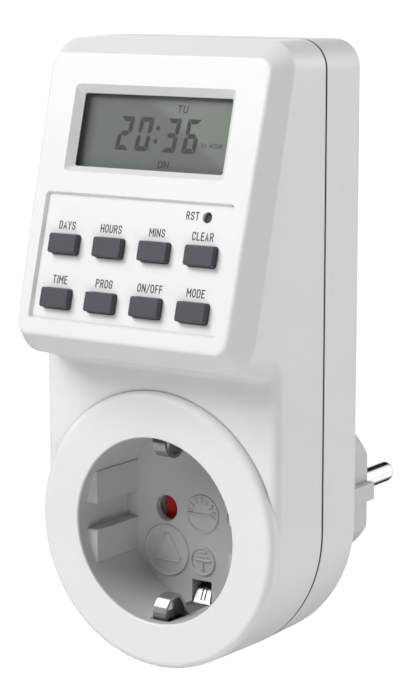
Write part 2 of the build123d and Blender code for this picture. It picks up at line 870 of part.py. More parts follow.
# ---------------------------------------------------------------- contacts and straps
def contact_carrier():
    half = carrier_half_width
    low, high = z_socket - carrier_half_height, z_socket + carrier_half_height
    body = block((-half, half), (y_carrier, y_carrier_back), (low, high))
    body = fillet(body.edges().filter_by(Axis.Y), 1.5)
    ear_back = y_back_inside - fit_gap / 2
    ear_out = pedestal_radius + 1.4
    body += block((-ear_out, ear_out), (ear_back - 2.4, ear_back), (z_socket - 4, z_socket + 4))
    for side in (-1, 1):
        across = sorted((side * (pin_x - chamber_half_width), side * (pin_x + chamber_half_width)))
        body -= block(
            across, (y_carrier + 1.2, y_carrier_back + 1),
            (z_socket - chamber_half_height, z_socket + chamber_half_height),
        )
        body -= rod(side * pin_x, z_socket, pin_hole_radius + 0.4, y_carrier - 1, y_carrier_back)
    slot = strip_half_width + fit_gap
    gap = strip_thickness / 2 + fit_gap
    return body - block(
        (-slot, slot), (y_carrier - 1, y_carrier_back + 1), (z_socket - gap, z_socket + gap)
    )


def socket_contact(side):
    """Two gripping leaves on a base plate that seats on the back of the carrier."""
    half = chamber_half_width - 0.4
    x = (side * pin_x - half, side * pin_x + half)
    rest = chamber_half_height + 0.7
    contact = block(
        x, (y_carrier_back, y_contact_back), (z_socket - rest, z_socket + rest)
    )
    y_mouth = y_carrier + 2.0
    for up in (-1, 1):
        leaf = [
            (y_contact_back - contact_thickness / 2, z_socket + up * (contact_grip + 1.2)),
            (y_mouth + 4.0, z_socket + up * (contact_grip + contact_thickness / 2)),
            (y_mouth, z_socket + up * (contact_grip + 1.5)),
        ]
        contact += strip(leaf, contact_thickness, contact_thickness, *x)
    return contact


def strap(side, near, out, y_foot, y_up):
    """Copper strap: up at y_up from a foot, forwards over the carrier, up behind the board."""
    run_z = z_socket + carrier_half_height + 0.2 + strap_thickness / 2
    run_y = y_back_inside - 0.3 - strap_thickness / 2
    end_z = z_socket + main_board_low + 1.5
    across = sorted((side * near, side * out))
    route = [(y_foot, -pin_radius), (y_up, run_z), (run_y, run_z), (run_y, end_z)]
    if y_up != y_foot:
        knee_z = pin_radius + pin_collar
        route[1:1] = [(y_foot, knee_z), (y_up, knee_z)]
    shape = strip(route, strap_thickness, strap_thickness, *across)
    tab = block(across, (y_main_board_back, run_y), (end_z - strap_thickness, end_z))
    return shape + tab


def live_in_strap():
    return strap(-1, pin_x - 0.9, pin_x + 2.1, y_collar - strap_thickness / 2, y_strap)


def live_out_strap():
    y_foot = y_contact_back + strap_thickness / 2
    return strap(-1, pin_x - 4.7, pin_x - 1.9, y_foot, y_foot)


def neutral_strap():
    shape = strap(1, pin_x - 0.9, pin_x + 2.1, y_collar - strap_thickness / 2, y_strap)
    return shape + rod(
        pin_x + 0.6, z_socket / 2, 1.4, y_contact_back, y_collar - strap_thickness / 2
    )


# ---------------------------------------------------------------- display
def lcd_window():
    clear = window_margin - fit_gap
    plate = panel_plate(
        glass_half_width + clear, glass_low - clear, glass_high + clear, 0.5,
        w_window_back, -window_depth,
    )
    return plate


def lcd_cell():
    """Two glass sheets. The rear one is shorter, which leaves a ledge for the contact strips."""
    half = glass_half_width + 0.7
    front = panel_plate(
        half, glass_low - 0.8, glass_high + 0.8, 0.3, w_cell - cell_thickness / 2, w_cell
    )
    rear = panel_plate(
        half, glass_low + 1.6, glass_high - 1.6, 0.3, w_cell_back, w_cell - cell_thickness / 2
    )
    return front + rear


def lcd_reflector():
    return panel_plate(
        glass_half_width, glass_low + 1.8, glass_high - 1.8, 0.3, w_cell_back - 0.3, w_cell_back
    )


def zebra_strips():
    w_ledge = w_cell - cell_thickness / 2
    strips = []
    for low, high in (
        (glass_low - 0.6, glass_low + 1.3), (glass_high - 1.3, glass_high + 0.6)
    ):
        strips.append(panel_plate(glass_half_width - 1.0, low, high, 0.3, w_board, w_ledge))
    return strips


def lcd_holder():
    half = glass_half_width + 0.7 + fit_gap
    low, high = glass_low - 0.8 - fit_gap, glass_high + 0.8 + fit_gap
    outer = panel_plate(
        half + holder_wall, low - holder_wall, high + holder_wall, 0.8,
        w_board + fit_gap / 2, w_inside - fit_gap / 2,
    )
    return outer - panel_plate(half, low, high, 0.3, w_board - 1, 0)


def display_board():
    board = panel_plate(
        display_board_half_width, -display_board_low, display_board_high, 1.0,
        w_board_back, w_board,
    )
    return board - [
        panel_rod(u, v, board_screw_radius + screw_fit, w_board_back - 1, w_board + 1)
        for u, v in display_screw_spots
    ]


def board_screw(place):
    """Small pan-head screw along a local Z axis: shank up from the origin, head below it."""
    shank = extrude(Circle(board_screw_radius), amount=board_screw_length)
    head = extrude(Circle(2 * board_screw_radius), amount=-board_screw_head)
    head = fillet(head.edges().group_by(Axis.Z)[0], board_screw_head / 3)
    slot = Pos(0, 0, -board_screw_head) * Box(2.8 * board_screw_radius, 0.4, 0.8)
    return place * (shank + head - slot)


def display_board_screws():
    return [board_screw(panel * Pos(u, v, w_board_back)) for u, v in display_screw_spots]


def main_board():
    low, high = z_socket + main_board_low, z_socket + main_board_high
    board = block(
        (-main_board_half_width, main_board_half_width), (y_main_board, y_main_board_back),
        (low, high),
    )
    board = fillet(board.edges().filter_by(Axis.Y), 1.5)
    return board - [
        rod(x, z, board_screw_radius + screw_fit, y_main_board - 1, y_main_board_back + 1)
        for x, z in main_screw_spots
    ]


def main_board_screws():
    return [board_screw(rear_at_y(y_main_board) * Pos(-x, z)) for x, z in main_screw_spots]


def board_link():
    """Flat lead between the two boards."""
    start = panel.from_local_coords(Vector(0, link_up, w_board_back))
    turn = panel.from_local_coords(Vector(0, link_up, w_board_back - 3 * link_thickness))
    end_z = z_socket + main_board_high - 6.0
    route = [
        (start.Y, start.Z), (turn.Y, turn.Z), ((turn.Y + y_main_board) / 2, turn.Z - 2.0),
        (y_main_board - 2.0, end_z), (y_main_board, end_z),
    ]
    return strip(route, link_thickness, link_thickness, -link_width / 2, link_width / 2)


# ---------------------------------------------------------------- keys
def key(u, v):
    cap = extrude(
        RectangleRounded(key_width, key_height, key_corner_radius), amount=key_proud - w_flange
    )
    cap = fillet(cap.edges().group_by(Axis.Z)[-1], key_edge_radius)
    flange = extrude(
        RectangleRounded(key_width + 2 * key_flange, key_height + 2 * key_flange, 0.8),
        amount=-key_flange_thickness,
    )
    return panel * Pos(u, v, w_flange) * (cap + flange)


def key_mat():
    sheet = panel_plate(
        1.5 * key_pitch_x + dome_radius + 1.4, -key_row_low - dome_radius - 1.0,
        key_row_high + dome_radius + 1.0, 1.0, w_board, w_board + mat_thickness,
    )
    height = w_dome - (w_board + mat_thickness)
    dome = extrude(Circle(dome_radius), amount=height, taper=12)
    return sheet + [
        panel * Pos(u, v, w_board + mat_thickness) * dome for u, v in key_spots
    ]


def reset_key():
    stem_top = w_pocket - reset_key_below
    stem = panel_rod(reset_x, reset_up, reset_key_radius, w_flange, stem_top)
    return stem + panel_rod(reset_x, reset_up, reset_key_radius + 0.65, w_key_foot, w_flange)


def reset_switch():
    half = 1.75
    body = panel * Pos(reset_x, reset_up, w_board) * extrude(
        RectangleRounded(2 * half, 2 * half, 0.3), amount=2.0
    )
    return body + panel_rod(reset_x, reset_up, 0.9, w_board, w_key_foot - 0.6)


# ---------------------------------------------------------------- relay
relay_z = z_socket + relay_low
y_relay_base = y_main_board - relay_base_thickness
y_coil = y_relay_base - coil_flange_radius - 0.6
z_coil = relay_z + 4.6
z_core_top = z_coil + coil_length + 1.6
z_armature = z_core_top + armature_gap
y_yoke = y_coil - coil_flange_radius - 0.4
y_moving_contact = y_relay_base - 1.0


def round_z(x, y, radius, z_from, z_to):
    return Pos(x, y, z_from) * extrude(Circle(radius), amount=z_to - z_from)


def relay_base():
    half = relay_width / 2
    plate = block(
        (relay_x - half, relay_x + half), (y_relay_base, y_main_board),
        (relay_z, relay_z + relay_height),
    )
    return fillet(plate.edges().filter_by(Axis.Y), 0.5)


def relay_cover():
    half = relay_width / 2
    y_front = y_main_board - relay_depth
    outer = block(
        (relay_x - half, relay_x + half), (y_front, y_relay_base),
        (relay_z, relay_z + relay_height),
    )
    outer = fillet(outer.edges().group_by(Axis.Y)[0] + outer.edges().filter_by(Axis.Y), 0.7)
    inner = block(
        (relay_x - half + relay_wall, relay_x + half - relay_wall),
        (y_front + relay_wall, y_relay_base + 1),
        (relay_z + relay_wall, relay_z + relay_height - relay_wall),
    )
    return outer - inner


def relay_bobbin():
    sleeve = round_z(relay_x, y_coil, core_radius + 0.6, z_coil, z_coil + coil_length)
    for z in (z_coil, z_coil + coil_length - 0.8):
        sleeve += round_z(relay_x, y_coil, coil_flange_radius, z, z + 0.8)
    return sleeve - round_z(relay_x, y_coil, core_radius, z_coil - 1, z_core_top)


def relay_coil():
    winding = round_z(relay_x, y_coil, coil_radius, z_coil + 0.8, z_coil + coil_length - 0.8)
    return winding - round_z(relay_x, y_coil, core_radius + 0.6, z_coil, z_core_top)


def relay_yoke():
    """Core and L-shaped yoke that closes the magnetic path."""
    half = 4.0
    x = (relay_x - half, relay_x + half)
    z_foot = z_coil - 1.2
    foot = block(x, (y_yoke - 1.2, y_relay_base), (z_foot, z_coil))
    upright = block(x, (y_yoke - 1.2, y_yoke), (z_foot, z_armature - 0.1))
    core = round_z(relay_x, y_coil, core_radius, z_foot, z_core_top)
    return foot + upright + core


def relay_armature():
    half = 4.0
    plate = block(
        (relay_x - half, relay_x + half), (y_yoke - 1.2, y_moving_contact - 1.0),
        (z_armature, z_armature + 1.0),
    )
    return fillet(plate.edges().filter_by(Axis.Z), 0.6)


def relay_spring_contact():
    half = 2.0
    leaf = block(
        (relay_x - half, relay_x + half), (y_yoke, y_moving_contact + 0.8),
        (z_armature + 1.0, z_armature + 1.3),
    )
    return leaf + round_z(relay_x, y_moving_contact, 0.8, z_armature - 0.1, z_armature + 1.0)


def relay_fixed_contact():
    half = 1.2
    reach = y_moving_contact - (y_yoke - 0.6)
    drop = reach * tan(radians(armature_swing))
    top = z_armature - 0.1 - drop - 0.15
    bracket = block(
        (relay_x - half, relay_x + half), (y_moving_contact - 0.8, y_relay_base),
        (top - 0.9, top - 0.4),
    )
    return bracket + round_z(relay_x, y_moving_contact, 0.8, top - 0.9, top)


# ---------------------------------------------------------------- components
def on_main_board(share):
    """Height of a point of the main board, as a share of the board's height."""
    return z_socket + main_board_low + share * main_board_height


def film_capacitor():
    x = film_cap_side - main_board_half_width
    z = on_main_board(film_cap_share)
    body = block(
        (x, x + film_cap_width), (y_main_board - film_cap_depth, y_main_board),
        (z, z + film_cap_height),
    )
    return fillet(body.edges().group_by(Axis.Y)[0] + body.edges().filter_by(Axis.Y), 0.8)


def electrolytic_capacitor():
    can = rod(
        main_board_half_width - electrolytic_side, on_main_board(electrolytic_share),
        electrolytic_radius, y_main_board - electrolytic_length, y_main_board,
    )
    return fillet(can.edges().group_by(Axis.Y)[0], 0.6)


def varistor():
    z = on_main_board(varistor_share)
    y = y_main_board - varistor_radius - 1.0
    disc = Pos(varistor_x, y, z) * Rot(0, 90, 0) * Cylinder(varistor_radius, varistor_thickness)
    disc = fillet(disc.edges(), 1.0)
    for side in (-1, 1):
        offset = side * varistor_lead_spacing / 2
        disc += rod(varistor_x, z + offset, 0.4, y_main_board - 3.0, y_main_board)
    return disc


def axial_part(x, z, radius, length):
    """Barrel lying along X with a lead bent down to the board at each end."""
    wire = axial_lead_radius
    y = y_main_board - radius - axial_lift
    foot = length / 2 + axial_lead_reach
    barrel = Pos(x, y, z) * Rot(0, 90, 0) * Cylinder(radius, length)
    barrel = fillet(barrel.edges(), radius * 0.3)
    for side in (-1, 1):
        barrel += Pos(x + side * foot / 2, y, z) * Rot(0, 90, 0) * Cylinder(wire, foot)
        barrel += rod(x + side * (foot - wire), z, wire, y - wire, y_main_board)
    return barrel


def resistors():
    x = main_board_half_width - resistor_side
    z = on_main_board(resistor_share)
    return [
        axial_part(x, z + resistor_pitch * row, resistor_radius, resistor_length)
        for row in range(4)
    ]


def rectifier_diodes():
    x = main_board_half_width - diode_side
    z = on_main_board(diode_share)
    return [
        axial_part(x, z + diode_pitch * row, diode_radius, diode_length) for row in range(4)
    ]


def controller_chip():
    body = panel * Pos(chip_x, chip_up, w_board_back - chip_thickness) * extrude(
        RectangleRounded(chip_width, chip_width, 0.4), amount=chip_thickness
    )
    lead = Box(1.4, 0.5, 0.4)
    for side in (-1, 1):
        x = chip_x + side * (chip_width / 2 + 0.6)
        for row in range(chip_leads):
            up = chip_up + (row - (chip_leads - 1) / 2) * chip_lead_pitch
            body += panel * Pos(x, up, w_board_back - 0.2) * lead
    return body


def crystal():
    can = panel * Pos(crystal_x, crystal_up, w_board_back - crystal_radius) * Rot(
        0, 90, 0
    ) * Cylinder(crystal_radius, crystal_length)
    return fillet(can.edges(), 0.4)


def backup_cell():
    w = w_board_back - cell_rest_height - backup_cell_height
    cell = panel * Pos(backup_cell_x, backup_cell_up, w) * extrude(
        Circle(backup_cell_radius), amount=backup_cell_height
    )
    return fillet(cell.edges(), 0.7)


def cell_tabs():
    """Two solder tabs that hold the cell to the display board."""
    middle = panel * Pos(backup_cell_x, backup_cell_up, w_board_back)
    top = middle * Pos(0, 0, -cell_rest_height) * extrude(
        Rectangle(1.5 * cell_tab_width, cell_tab_width), amount=cell_rest_height
    )
    reach = cell_rest_height + backup_cell_height + cell_tab_thickness
    out = backup_cell_radius + 1.2
    under = middle * Pos(-out / 2, 0, cell_tab_thickness / 2 - reach) * Box(
        out + cell_tab_thickness, cell_tab_width, cell_tab_thickness
    )
    upright = middle * Pos(-out, 0, -reach / 2) * Box(
        cell_tab_thickness, cell_tab_width, reach
    )
    return [top, under + upright]


# ---------------------------------------------------------------- assembly
def parts():
    """Every named piece of the timer."""
    pieces = {
        "front_shell": front_shell(),
        "rear_shell": rear_shell(),
        "case_screws": case_screws(),
        "plug_body": plug_body(),
        "live_pin": plug_pin(-1),
        "neutral_pin": plug_pin(1),
        "plug_earth_clips": plug_earth_clips(),
        "socket_insert": socket_insert(),
        "socket_earth_strip": socket_earth_strip(),
        "shutter_plate": shutter_plate(),
        "shutter_cover": shutter_cover(),
        "shutter_spring": shutter_spring(),
        "contact_carrier": contact_carrier(),
        "live_socket_contact": socket_contact(-1),
        "neutral_socket_contact": socket_contact(1),
        "live_in_strap": live_in_strap(),
        "live_out_strap": live_out_strap(),
        "neutral_strap": neutral_strap(),
        "lcd_window": lcd_window(),
        "lcd_cell": lcd_cell(),
        "lcd_reflector": lcd_reflector(),
        "zebra_strips": zebra_strips(),
        "lcd_holder": lcd_holder(),
        "display_board": display_board(),
        "display_board_screws": display_board_screws(),
        "main_board": main_board(),
        "main_board_screws": main_board_screws(),
        "board_link": board_link(),
        "key_mat": key_mat(),
        "reset_key": reset_key(),
        "reset_switch": reset_switch(),
        "relay_base": relay_base(),
        "relay_cover": relay_cover(),
        "relay_bobbin": relay_bobbin(),
        "relay_coil": relay_coil(),
        "relay_yoke": relay_yoke(),
        "relay_armature": relay_armature(),
        "relay_spring_contact": relay_spring_contact(),
        "relay_fixed_contact": relay_fixed_contact(),
        "film_capacitor": film_capacitor(),
        "electrolytic_capacitor": electrolytic_capacitor(),
        "varistor": varistor(),
        "resistors": resistors(),
        "rectifier_diodes": rectifier_diodes(),
        "controller_chip": controller_chip(),
        "crystal": crystal(),
        "backup_cell": backup_cell(),
        "cell_tabs": cell_tabs(),
    }
    for name, (u, v) in zip(key_names, key_spots):
        pieces[f"key_{name}"] = key(u, v)
    return pieces


def write_parts():
    os.makedirs("parts", exist_ok=True)
    for name, shape in parts().items():
        if isinstance(shape, list):
            shape = Compound(children=[solid for piece in shape for solid in piece.solids()])
        export_step(shape, f"parts/{name}.step")


if __name__ == "__main__":
    write_parts()
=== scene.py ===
"""Plug-in timer switch: finishes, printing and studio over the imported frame.

Lengths are metres. +X is to the right seen from the front, +Y goes to the wall, +Z is up.
The frame's own pieces keep their meshes and get a finish. The key captions, the signs on the
display, the raised marks in the well and the backdrop are new, worked out with numpy.
"""

import bpy
import numpy as np
from bpy.props import FloatProperty, FloatVectorProperty, PointerProperty, StringProperty
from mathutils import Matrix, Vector


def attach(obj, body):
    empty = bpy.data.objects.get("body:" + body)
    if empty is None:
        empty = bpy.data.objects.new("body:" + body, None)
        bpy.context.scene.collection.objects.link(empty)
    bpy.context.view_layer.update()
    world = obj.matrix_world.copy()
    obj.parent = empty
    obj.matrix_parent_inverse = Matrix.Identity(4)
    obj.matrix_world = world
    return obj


bl_info = {
    "name": "Plug-in timer switch",
    "version": (1, 0, 0),
    "blender": (4, 5, 0),
    "location": "View3D > Sidebar > Timer",
    "description": "Finishes, key captions, display and studio of a plug-in timer switch",
    "category": "Object",
}

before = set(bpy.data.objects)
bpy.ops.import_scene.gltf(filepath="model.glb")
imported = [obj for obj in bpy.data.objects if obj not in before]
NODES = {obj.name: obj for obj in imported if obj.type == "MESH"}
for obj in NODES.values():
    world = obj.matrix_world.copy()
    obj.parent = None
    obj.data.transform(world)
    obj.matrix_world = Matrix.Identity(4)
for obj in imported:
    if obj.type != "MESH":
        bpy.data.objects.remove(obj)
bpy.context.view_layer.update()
CASING = "timer"

# Sloping panel: origin, up direction and outward normal, and depths along the normal
SLOPE = np.radians(15.06)
PANEL_ORIGIN = np.array([0.0, -0.07019, 0.0614])
PANEL_UP = np.array([0.0, np.sin(SLOPE), np.cos(SLOPE)])
PANEL_OUT = np.array([0.0, -np.cos(SLOPE), np.sin(SLOPE)])
POCKET_FLOOR = -0.0008
CELL_FACE = -0.00294
CELL_INK = CELL_FACE + 0.00003

# Edges of the visible part of the display cell; CELL_FADE is how far the painted shadow at its left
# edge fades
CELL_LEFT = -0.0176
CELL_FADE = 0.0026
CELL_TOP = 0.0938

# Slanting edge of the painted reflection on the cell: Z plus CELL_SLANT times X is CELL_LINE
CELL_SLANT = 0.66
CELL_LINE = 0.0899

# Where the two shells meet, and how far painted shade darkens the plastic on both sides of it
SEAM_Y = -0.044075
SEAM_DARK = 0.00026
SEAM_SHADE_END = 0.00048

# Floor of the socket well
WELL_AXIS_Z = 0.0014
WELL_FLOOR_Y = -0.04463

# Studio: middle of the dark band painted into what metal mirrors of the backdrop, size of the square
# lamps and where they point
BAND_X = -0.5
LAMP_SIZE = 0.8
LAMP_TARGET = (0, -0.05, 0.04)


# ---------------------------------------------------------------- sizes and colours
class TimerSizes(bpy.types.PropertyGroup):
    caption_height: FloatProperty(
        name="Caption height", description="Height of the capitals above the keys",
        default=0.00172, unit="LENGTH",
    )
    letter_width: FloatProperty(
        name="Letter width", description="Width between a capital's middle lines, in heights",
        default=0.38, subtype="FACTOR",
    )
    letter_stroke: FloatProperty(
        name="Letter stroke", description="Width of the captions' strokes, in heights",
        default=0.14, subtype="FACTOR",
    )
    letter_gap: FloatProperty(
        name="Letter gap", description="Clear gap between two letters, in heights",
        default=0.13, subtype="FACTOR",
    )
    ink_thickness: FloatProperty(
        name="Ink thickness", description="Height of printed ink over the plastic",
        default=0.00002, unit="LENGTH",
    )
    digit_height: FloatProperty(
        name="Digit height", description="Height of the time digits",
        default=0.00705, unit="LENGTH",
    )
    digit_width: FloatProperty(
        name="Digit width", description="Width of one time digit",
        default=0.0034, unit="LENGTH",
    )
    stroke_width: FloatProperty(
        name="Stroke width", description="Width of one display segment",
        default=0.00102, unit="LENGTH",
    )
    segment_gap: FloatProperty(
        name="Segment gap", description="Clear line between two segments of a digit",
        default=0.00016, unit="LENGTH",
    )
    relief_width: FloatProperty(
        name="Relief width", description="Width of the raised lines on the floor of the well",
        default=0.0006, unit="LENGTH",
    )
    relief_height: FloatProperty(
        name="Relief height", description="Height of the raised lines on the floor of the well",
        default=0.00045, unit="LENGTH",
    )
    time_text: StringProperty(
        name="Time", description="Time on the display", default="20:36",
    )


class TimerColours(bpy.types.PropertyGroup):
    casing: FloatVectorProperty(
        name="Casing", description="White of the moulded casing", subtype="COLOR",
        size=3, default=(0.76, 0.76, 0.757), min=0, max=1,
    )
    plug: FloatVectorProperty(
        name="Plug", description="Light grey of the plug body", subtype="COLOR",
        size=3, default=(0.6, 0.6, 0.598), min=0, max=1,
    )
    well: FloatVectorProperty(
        name="Well", description="Grey of the socket well", subtype="COLOR",
        size=3, default=(0.47, 0.472, 0.47), min=0, max=1,
    )
    keys: FloatVectorProperty(
        name="Keys", description="Slate grey of the keys", subtype="COLOR",
        size=3, default=(0.05, 0.056, 0.066), min=0, max=1,
    )
    ink: FloatVectorProperty(
        name="Ink", description="Printed captions", subtype="COLOR",
        size=3, default=(0.03, 0.03, 0.032), min=0, max=1,
    )
    shutter: FloatVectorProperty(
        name="Shutter", description="Red of the shutter behind the pin holes", subtype="COLOR",
        size=3, default=(0.42, 0.004, 0.005), min=0, max=1,
    )
    display: FloatVectorProperty(
        name="Display", description="Grey green of the liquid crystal cell", subtype="COLOR",
        size=3, default=(0.205, 0.222, 0.2), min=0, max=1,
    )
    segment: FloatVectorProperty(
        name="Segment", description="Colour of a lit display segment", subtype="COLOR",
        size=3, default=(0.05, 0.05, 0.05), min=0, max=1,
    )


class StudioSettings(bpy.types.PropertyGroup):
    ambient: FloatProperty(
        name="Ambient", description="Strength of the even light from all round", default=0.05,
    )
    key: FloatProperty(
        name="Key light", description="Power of the high light on the left", default=18.8,
    )
    fill: FloatProperty(
        name="Fill light", description="Power of the high light on the right", default=2.2,
    )
    back: FloatProperty(
        name="Back light", description="Power of the light behind on the right", default=11.6,
    )
    table: FloatProperty(
        name="Table light", description="Power of the low light in front, half under the floor",
        default=5.4,
    )
    corner: FloatProperty(
        name="Corner light", description="Power of the low light on the right", default=7.4,
    )


# ---------------------------------------------------------------- mesh helpers
def add_object(name, points, faces, material, smooth=True):
    """Object at the origin from an (n, 3) array of points and its faces."""
    mesh = bpy.data.meshes.new(name)
    mesh.from_pydata(np.asarray(points, float), [], faces)
    mesh.validate()
    mesh.polygons.foreach_set("use_smooth", np.full(len(mesh.polygons), smooth))
    mesh.materials.append(material)
    obj = bpy.data.objects.new(name, mesh)
    bpy.context.scene.collection.objects.link(obj)
    return obj


def grid_faces(rows, columns, closed, start):
    """Quads of a grid of rows by columns points, as an (m, 4) array of indices.

    Where it is closed, the last row joins the first. start is the index of the first point.
    """
    row = np.arange(rows if closed else rows - 1)
    row, column = np.meshgrid(row, np.arange(columns - 1), indexing="ij")
    here, ahead = row * columns + column, (row + 1) % rows * columns + column
    return np.stack([here, here + 1, ahead + 1, ahead], -1).reshape(-1, 4) + start


def join_grids(parts):
    """One array of points and one of faces from pairs of a points grid and whether it closes."""
    points, faces, start = [], [], 0
    for grid, closed in parts:
        rows, columns = grid.shape[:2]
        points.append(grid.reshape(-1, 3))
        faces.append(grid_faces(rows, columns, closed, start))
        start += rows * columns
    return np.concatenate(points), np.concatenate(faces)


def on_panel(u, v, w):
    """Points of the sloping panel: u to the right, v up the slope, w out of the face."""
    u, v, w = np.broadcast_arrays(u, v, w)
    right = np.array([1.0, 0.0, 0.0])
    return PANEL_ORIGIN + u[..., None] * right + v[..., None] * PANEL_UP + w[..., None] * PANEL_OUT


def on_well_floor(u, v, w):
    """Points of the well's floor: u to the right, v up, w towards the front."""
    u, v, w = np.broadcast_arrays(u, v, w)
    return np.stack([u, WELL_FLOOR_Y - w, WELL_AXIS_Z + v], -1)


def bead(path, place, width, height, closed=False):
    """Half-round raised line along a flat path.

    The profile is half an ellipse: width times the cosine across and height times the sine
    outwards. An open line tapers to nothing at its ends along a quarter circle.
    """
    path = np.asarray(path, float)
    if closed:
        ahead = np.roll(path, -1, 0) - np.roll(path, 1, 0)
        size = np.ones(len(path))
    else:
        first, last = path[0] - path[1], path[-1] - path[-2]
        along = np.linspace(0.0, 1.0, 5)[1:]
        cap = along[:, None] * width / 2
        head = path[0] + cap[::-1] * first / np.linalg.norm(first)
        tail = path[-1] + cap * last / np.linalg.norm(last)
        taper = np.sqrt(np.clip(1 - along ** 2, 0, 1))
        size = np.concatenate([taper[::-1], np.ones(len(path)), taper])
        path = np.concatenate([head, path, tail])
        ahead = np.gradient(path, axis=0)
    ahead /= np.linalg.norm(ahead, axis=1)[:, None]
    across = np.stack([ahead[:, 1], -ahead[:, 0]], 1)
    turn = np.linspace(0, np.pi, 9)
    reach = width / 2 * size[:, None] * np.cos(turn)
    u = path[:, 0, None] + across[:, 0, None] * reach
    v = path[:, 1, None] + across[:, 1, None] * reach
    return place(u, v, height * size[:, None] * np.sin(turn)), closed


def circle_path(centre, radius, steps=72):
    """Points of a circle: the centre plus the radius times the turn's cosine and sine."""
    turn = np.linspace(0, 2 * np.pi, steps, endpoint=False)
    return np.stack([centre[0] + radius * np.cos(turn), centre[1] + radius * np.sin(turn)], 1)


# Capitals in a unit square: width against an ordinary letter, then the middle lines
ROUND = ((0.65, 0), (0.9, 0.08), (1, 0.28), (1, 0.72), (0.9, 0.92), (0.65, 1))
HOOK = ((1, 0.74), (0.9, 0.93), (0.65, 1), (0.35, 1), (0.1, 0.92), (0, 0.72), (0, 0.28),
        (0.1, 0.08), (0.35, 0), (0.65, 0))
BOWL = ((0, 0), (0, 1), (0.6, 1), (0.9, 0.93), (1, 0.76), (0.9, 0.58), (0.6, 0.5), (0, 0.5))
LETTERS = {
    "A": (1, ((0, 0), (0.5, 1), (1, 0)), ((0.18, 0.28), (0.82, 0.28))),
    "C": (1, HOOK + ((0.9, 0.07), (1, 0.26))),
    "D": (1, ((0, 0), *ROUND, (0, 1), (0, 0))),
    "E": (0.85, ((1, 1), (0, 1), (0, 0), (1, 0)), ((0, 0.52), (0.85, 0.52))),
    "F": (0.85, ((1, 1), (0, 1), (0, 0)), ((0, 0.5), (0.85, 0.5))),
    "G": (1, HOOK + ((0.9, 0.08), (1, 0.28), (1, 0.48), (0.55, 0.48))),
    "H": (1, ((0, 0), (0, 1)), ((1, 0), (1, 1)), ((0, 0.5), (1, 0.5))),
    "I": (0, ((0, 0), (0, 1))),
    "L": (0.85, ((0, 1), (0, 0), (1, 0))),
    "M": (1.35, ((0, 0), (0, 1)), ((1, 0), (1, 1)), ((0.07, 0.9), (0.5, 0.36), (0.93, 0.9))),
    "N": (1.1, ((0, 0), (0, 1)), ((1, 0), (1, 1)), ((0.07, 0.9), (0.93, 0.1))),
    "O": (1, (*ROUND, *((1 - x, 1 - y) for x, y in ROUND), ROUND[0])),
    "P": (1, BOWL),
    "R": (1, BOWL, ((0.55, 0.5), (1, 0))),
    "S": (1, ((1, 0.78), (0.88, 0.94), (0.65, 1), (0.35, 1), (0.1, 0.92), (0, 0.76), (0.1, 0.6),
              (0.35, 0.53), (0.65, 0.47), (0.9, 0.4), (1, 0.24), (0.9, 0.08), (0.65, 0),
              (0.35, 0), (0.12, 0.06), (0, 0.22))),
    "T": (1, ((0, 1), (1, 1)), ((0.5, 1), (0.5, 0))),
    "U": (1, ((0, 1), (0, 0.28), (0.1, 0.08), (0.35, 0), *ROUND[:3], (1, 1))),
    "Y": (1, ((0, 1), (0.5, 0.45), (1, 1)), ((0.5, 0.45), (0.5, 0))),
    "2": (1, ((0, 0.76), (0.1, 0.93), (0.35, 1), (0.65, 1), (0.9, 0.93), (1, 0.76), (0.9, 0.55),
              (0, 0), (1, 0))),
    "4": (1, ((0.7, 0), (0.7, 1), (0, 0.28), (1, 0.28))),
    "/": (0.75, ((0, -0.06), (1, 1.06))),
    " ": (0.3,),
}


# Longest corner of a stroke, in half widths
MITRE_LIMIT = 1.6


def flat_stroke(line, width):
    """Grid of the two edges of a flat stroke along a line of points.

    Each edge point lies half a width out from the line along the bisector of its two
    neighbouring directions, lengthened by one over the cosine of half the turn, up to
    MITRE_LIMIT. The ends of an open line run on by half a width.
    """
    line = np.asarray(line, float)
    closed = bool(np.allclose(line[0], line[-1]))
    if closed:
        line = line[:-1]
        ahead = np.roll(line, -1, 0) - line
    else:
        ahead = np.diff(line, axis=0)
        ends = ahead[[0, -1]] / np.linalg.norm(ahead[[0, -1]], axis=1)[:, None] * width / 2
        line[0] -= ends[0]
        line[-1] += ends[1]
        ahead = np.concatenate([ahead, ahead[-1:]])
    ahead /= np.linalg.norm(ahead, axis=1)[:, None]
    before = np.roll(ahead, 1, 0)
    if not closed:
        before[0] = ahead[0]
    middle = ahead + before
    middle /= np.linalg.norm(middle, axis=1)[:, None]
    reach = np.minimum(1 / np.sum(middle * ahead, 1), MITRE_LIMIT)[:, None] * width / 2
    out = np.stack([-middle[:, 1], middle[:, 0]], 1) * reach
    return np.stack([line + out, line - out], 1), closed


def lettering(name, words, material, depth, width, stroke, gap):
    """Words on the panel as flat strokes along the middle lines in LETTERS.

    words holds (text, centre u, centre v, height of capitals). A letter's width, its stroke
    and the gap to the next one are fractions of that height.
    """
    parts = []
    for text, u, v, height in words:
        widths = [LETTERS[letter][0] * width * height for letter in text]
        step = (stroke + gap) * height
        left = u - (sum(widths) + step * (len(text) - 1)) / 2
        for letter, across in zip(text, widths):
            for line in LETTERS[letter][1:]:
                line = (np.array(line) - (0, 0.5)) * (across, height * (1 - stroke)) + (left, v)
                edges, closed = flat_stroke(line, stroke * height)
                parts.append((on_panel(edges[..., 0], edges[..., 1], depth), closed))
            left += across + step
    piece = add_object(name, *join_grids(parts), material, smooth=False)
    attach(piece, CASING)


# ---------------------------------------------------------------- finishes
def start_material(name):
    """Node material with a Principled shader. Returns it with its node tree and the shader."""
    material = bpy.data.materials.new(name)
    material.use_nodes = True
    tree = material.node_tree
    tree.nodes.clear()
    output = tree.nodes.new("ShaderNodeOutputMaterial")
    shader = tree.nodes.new("ShaderNodeBsdfPrincipled")
    tree.links.new(shader.outputs["BSDF"], output.inputs["Surface"])
    return material, tree, shader


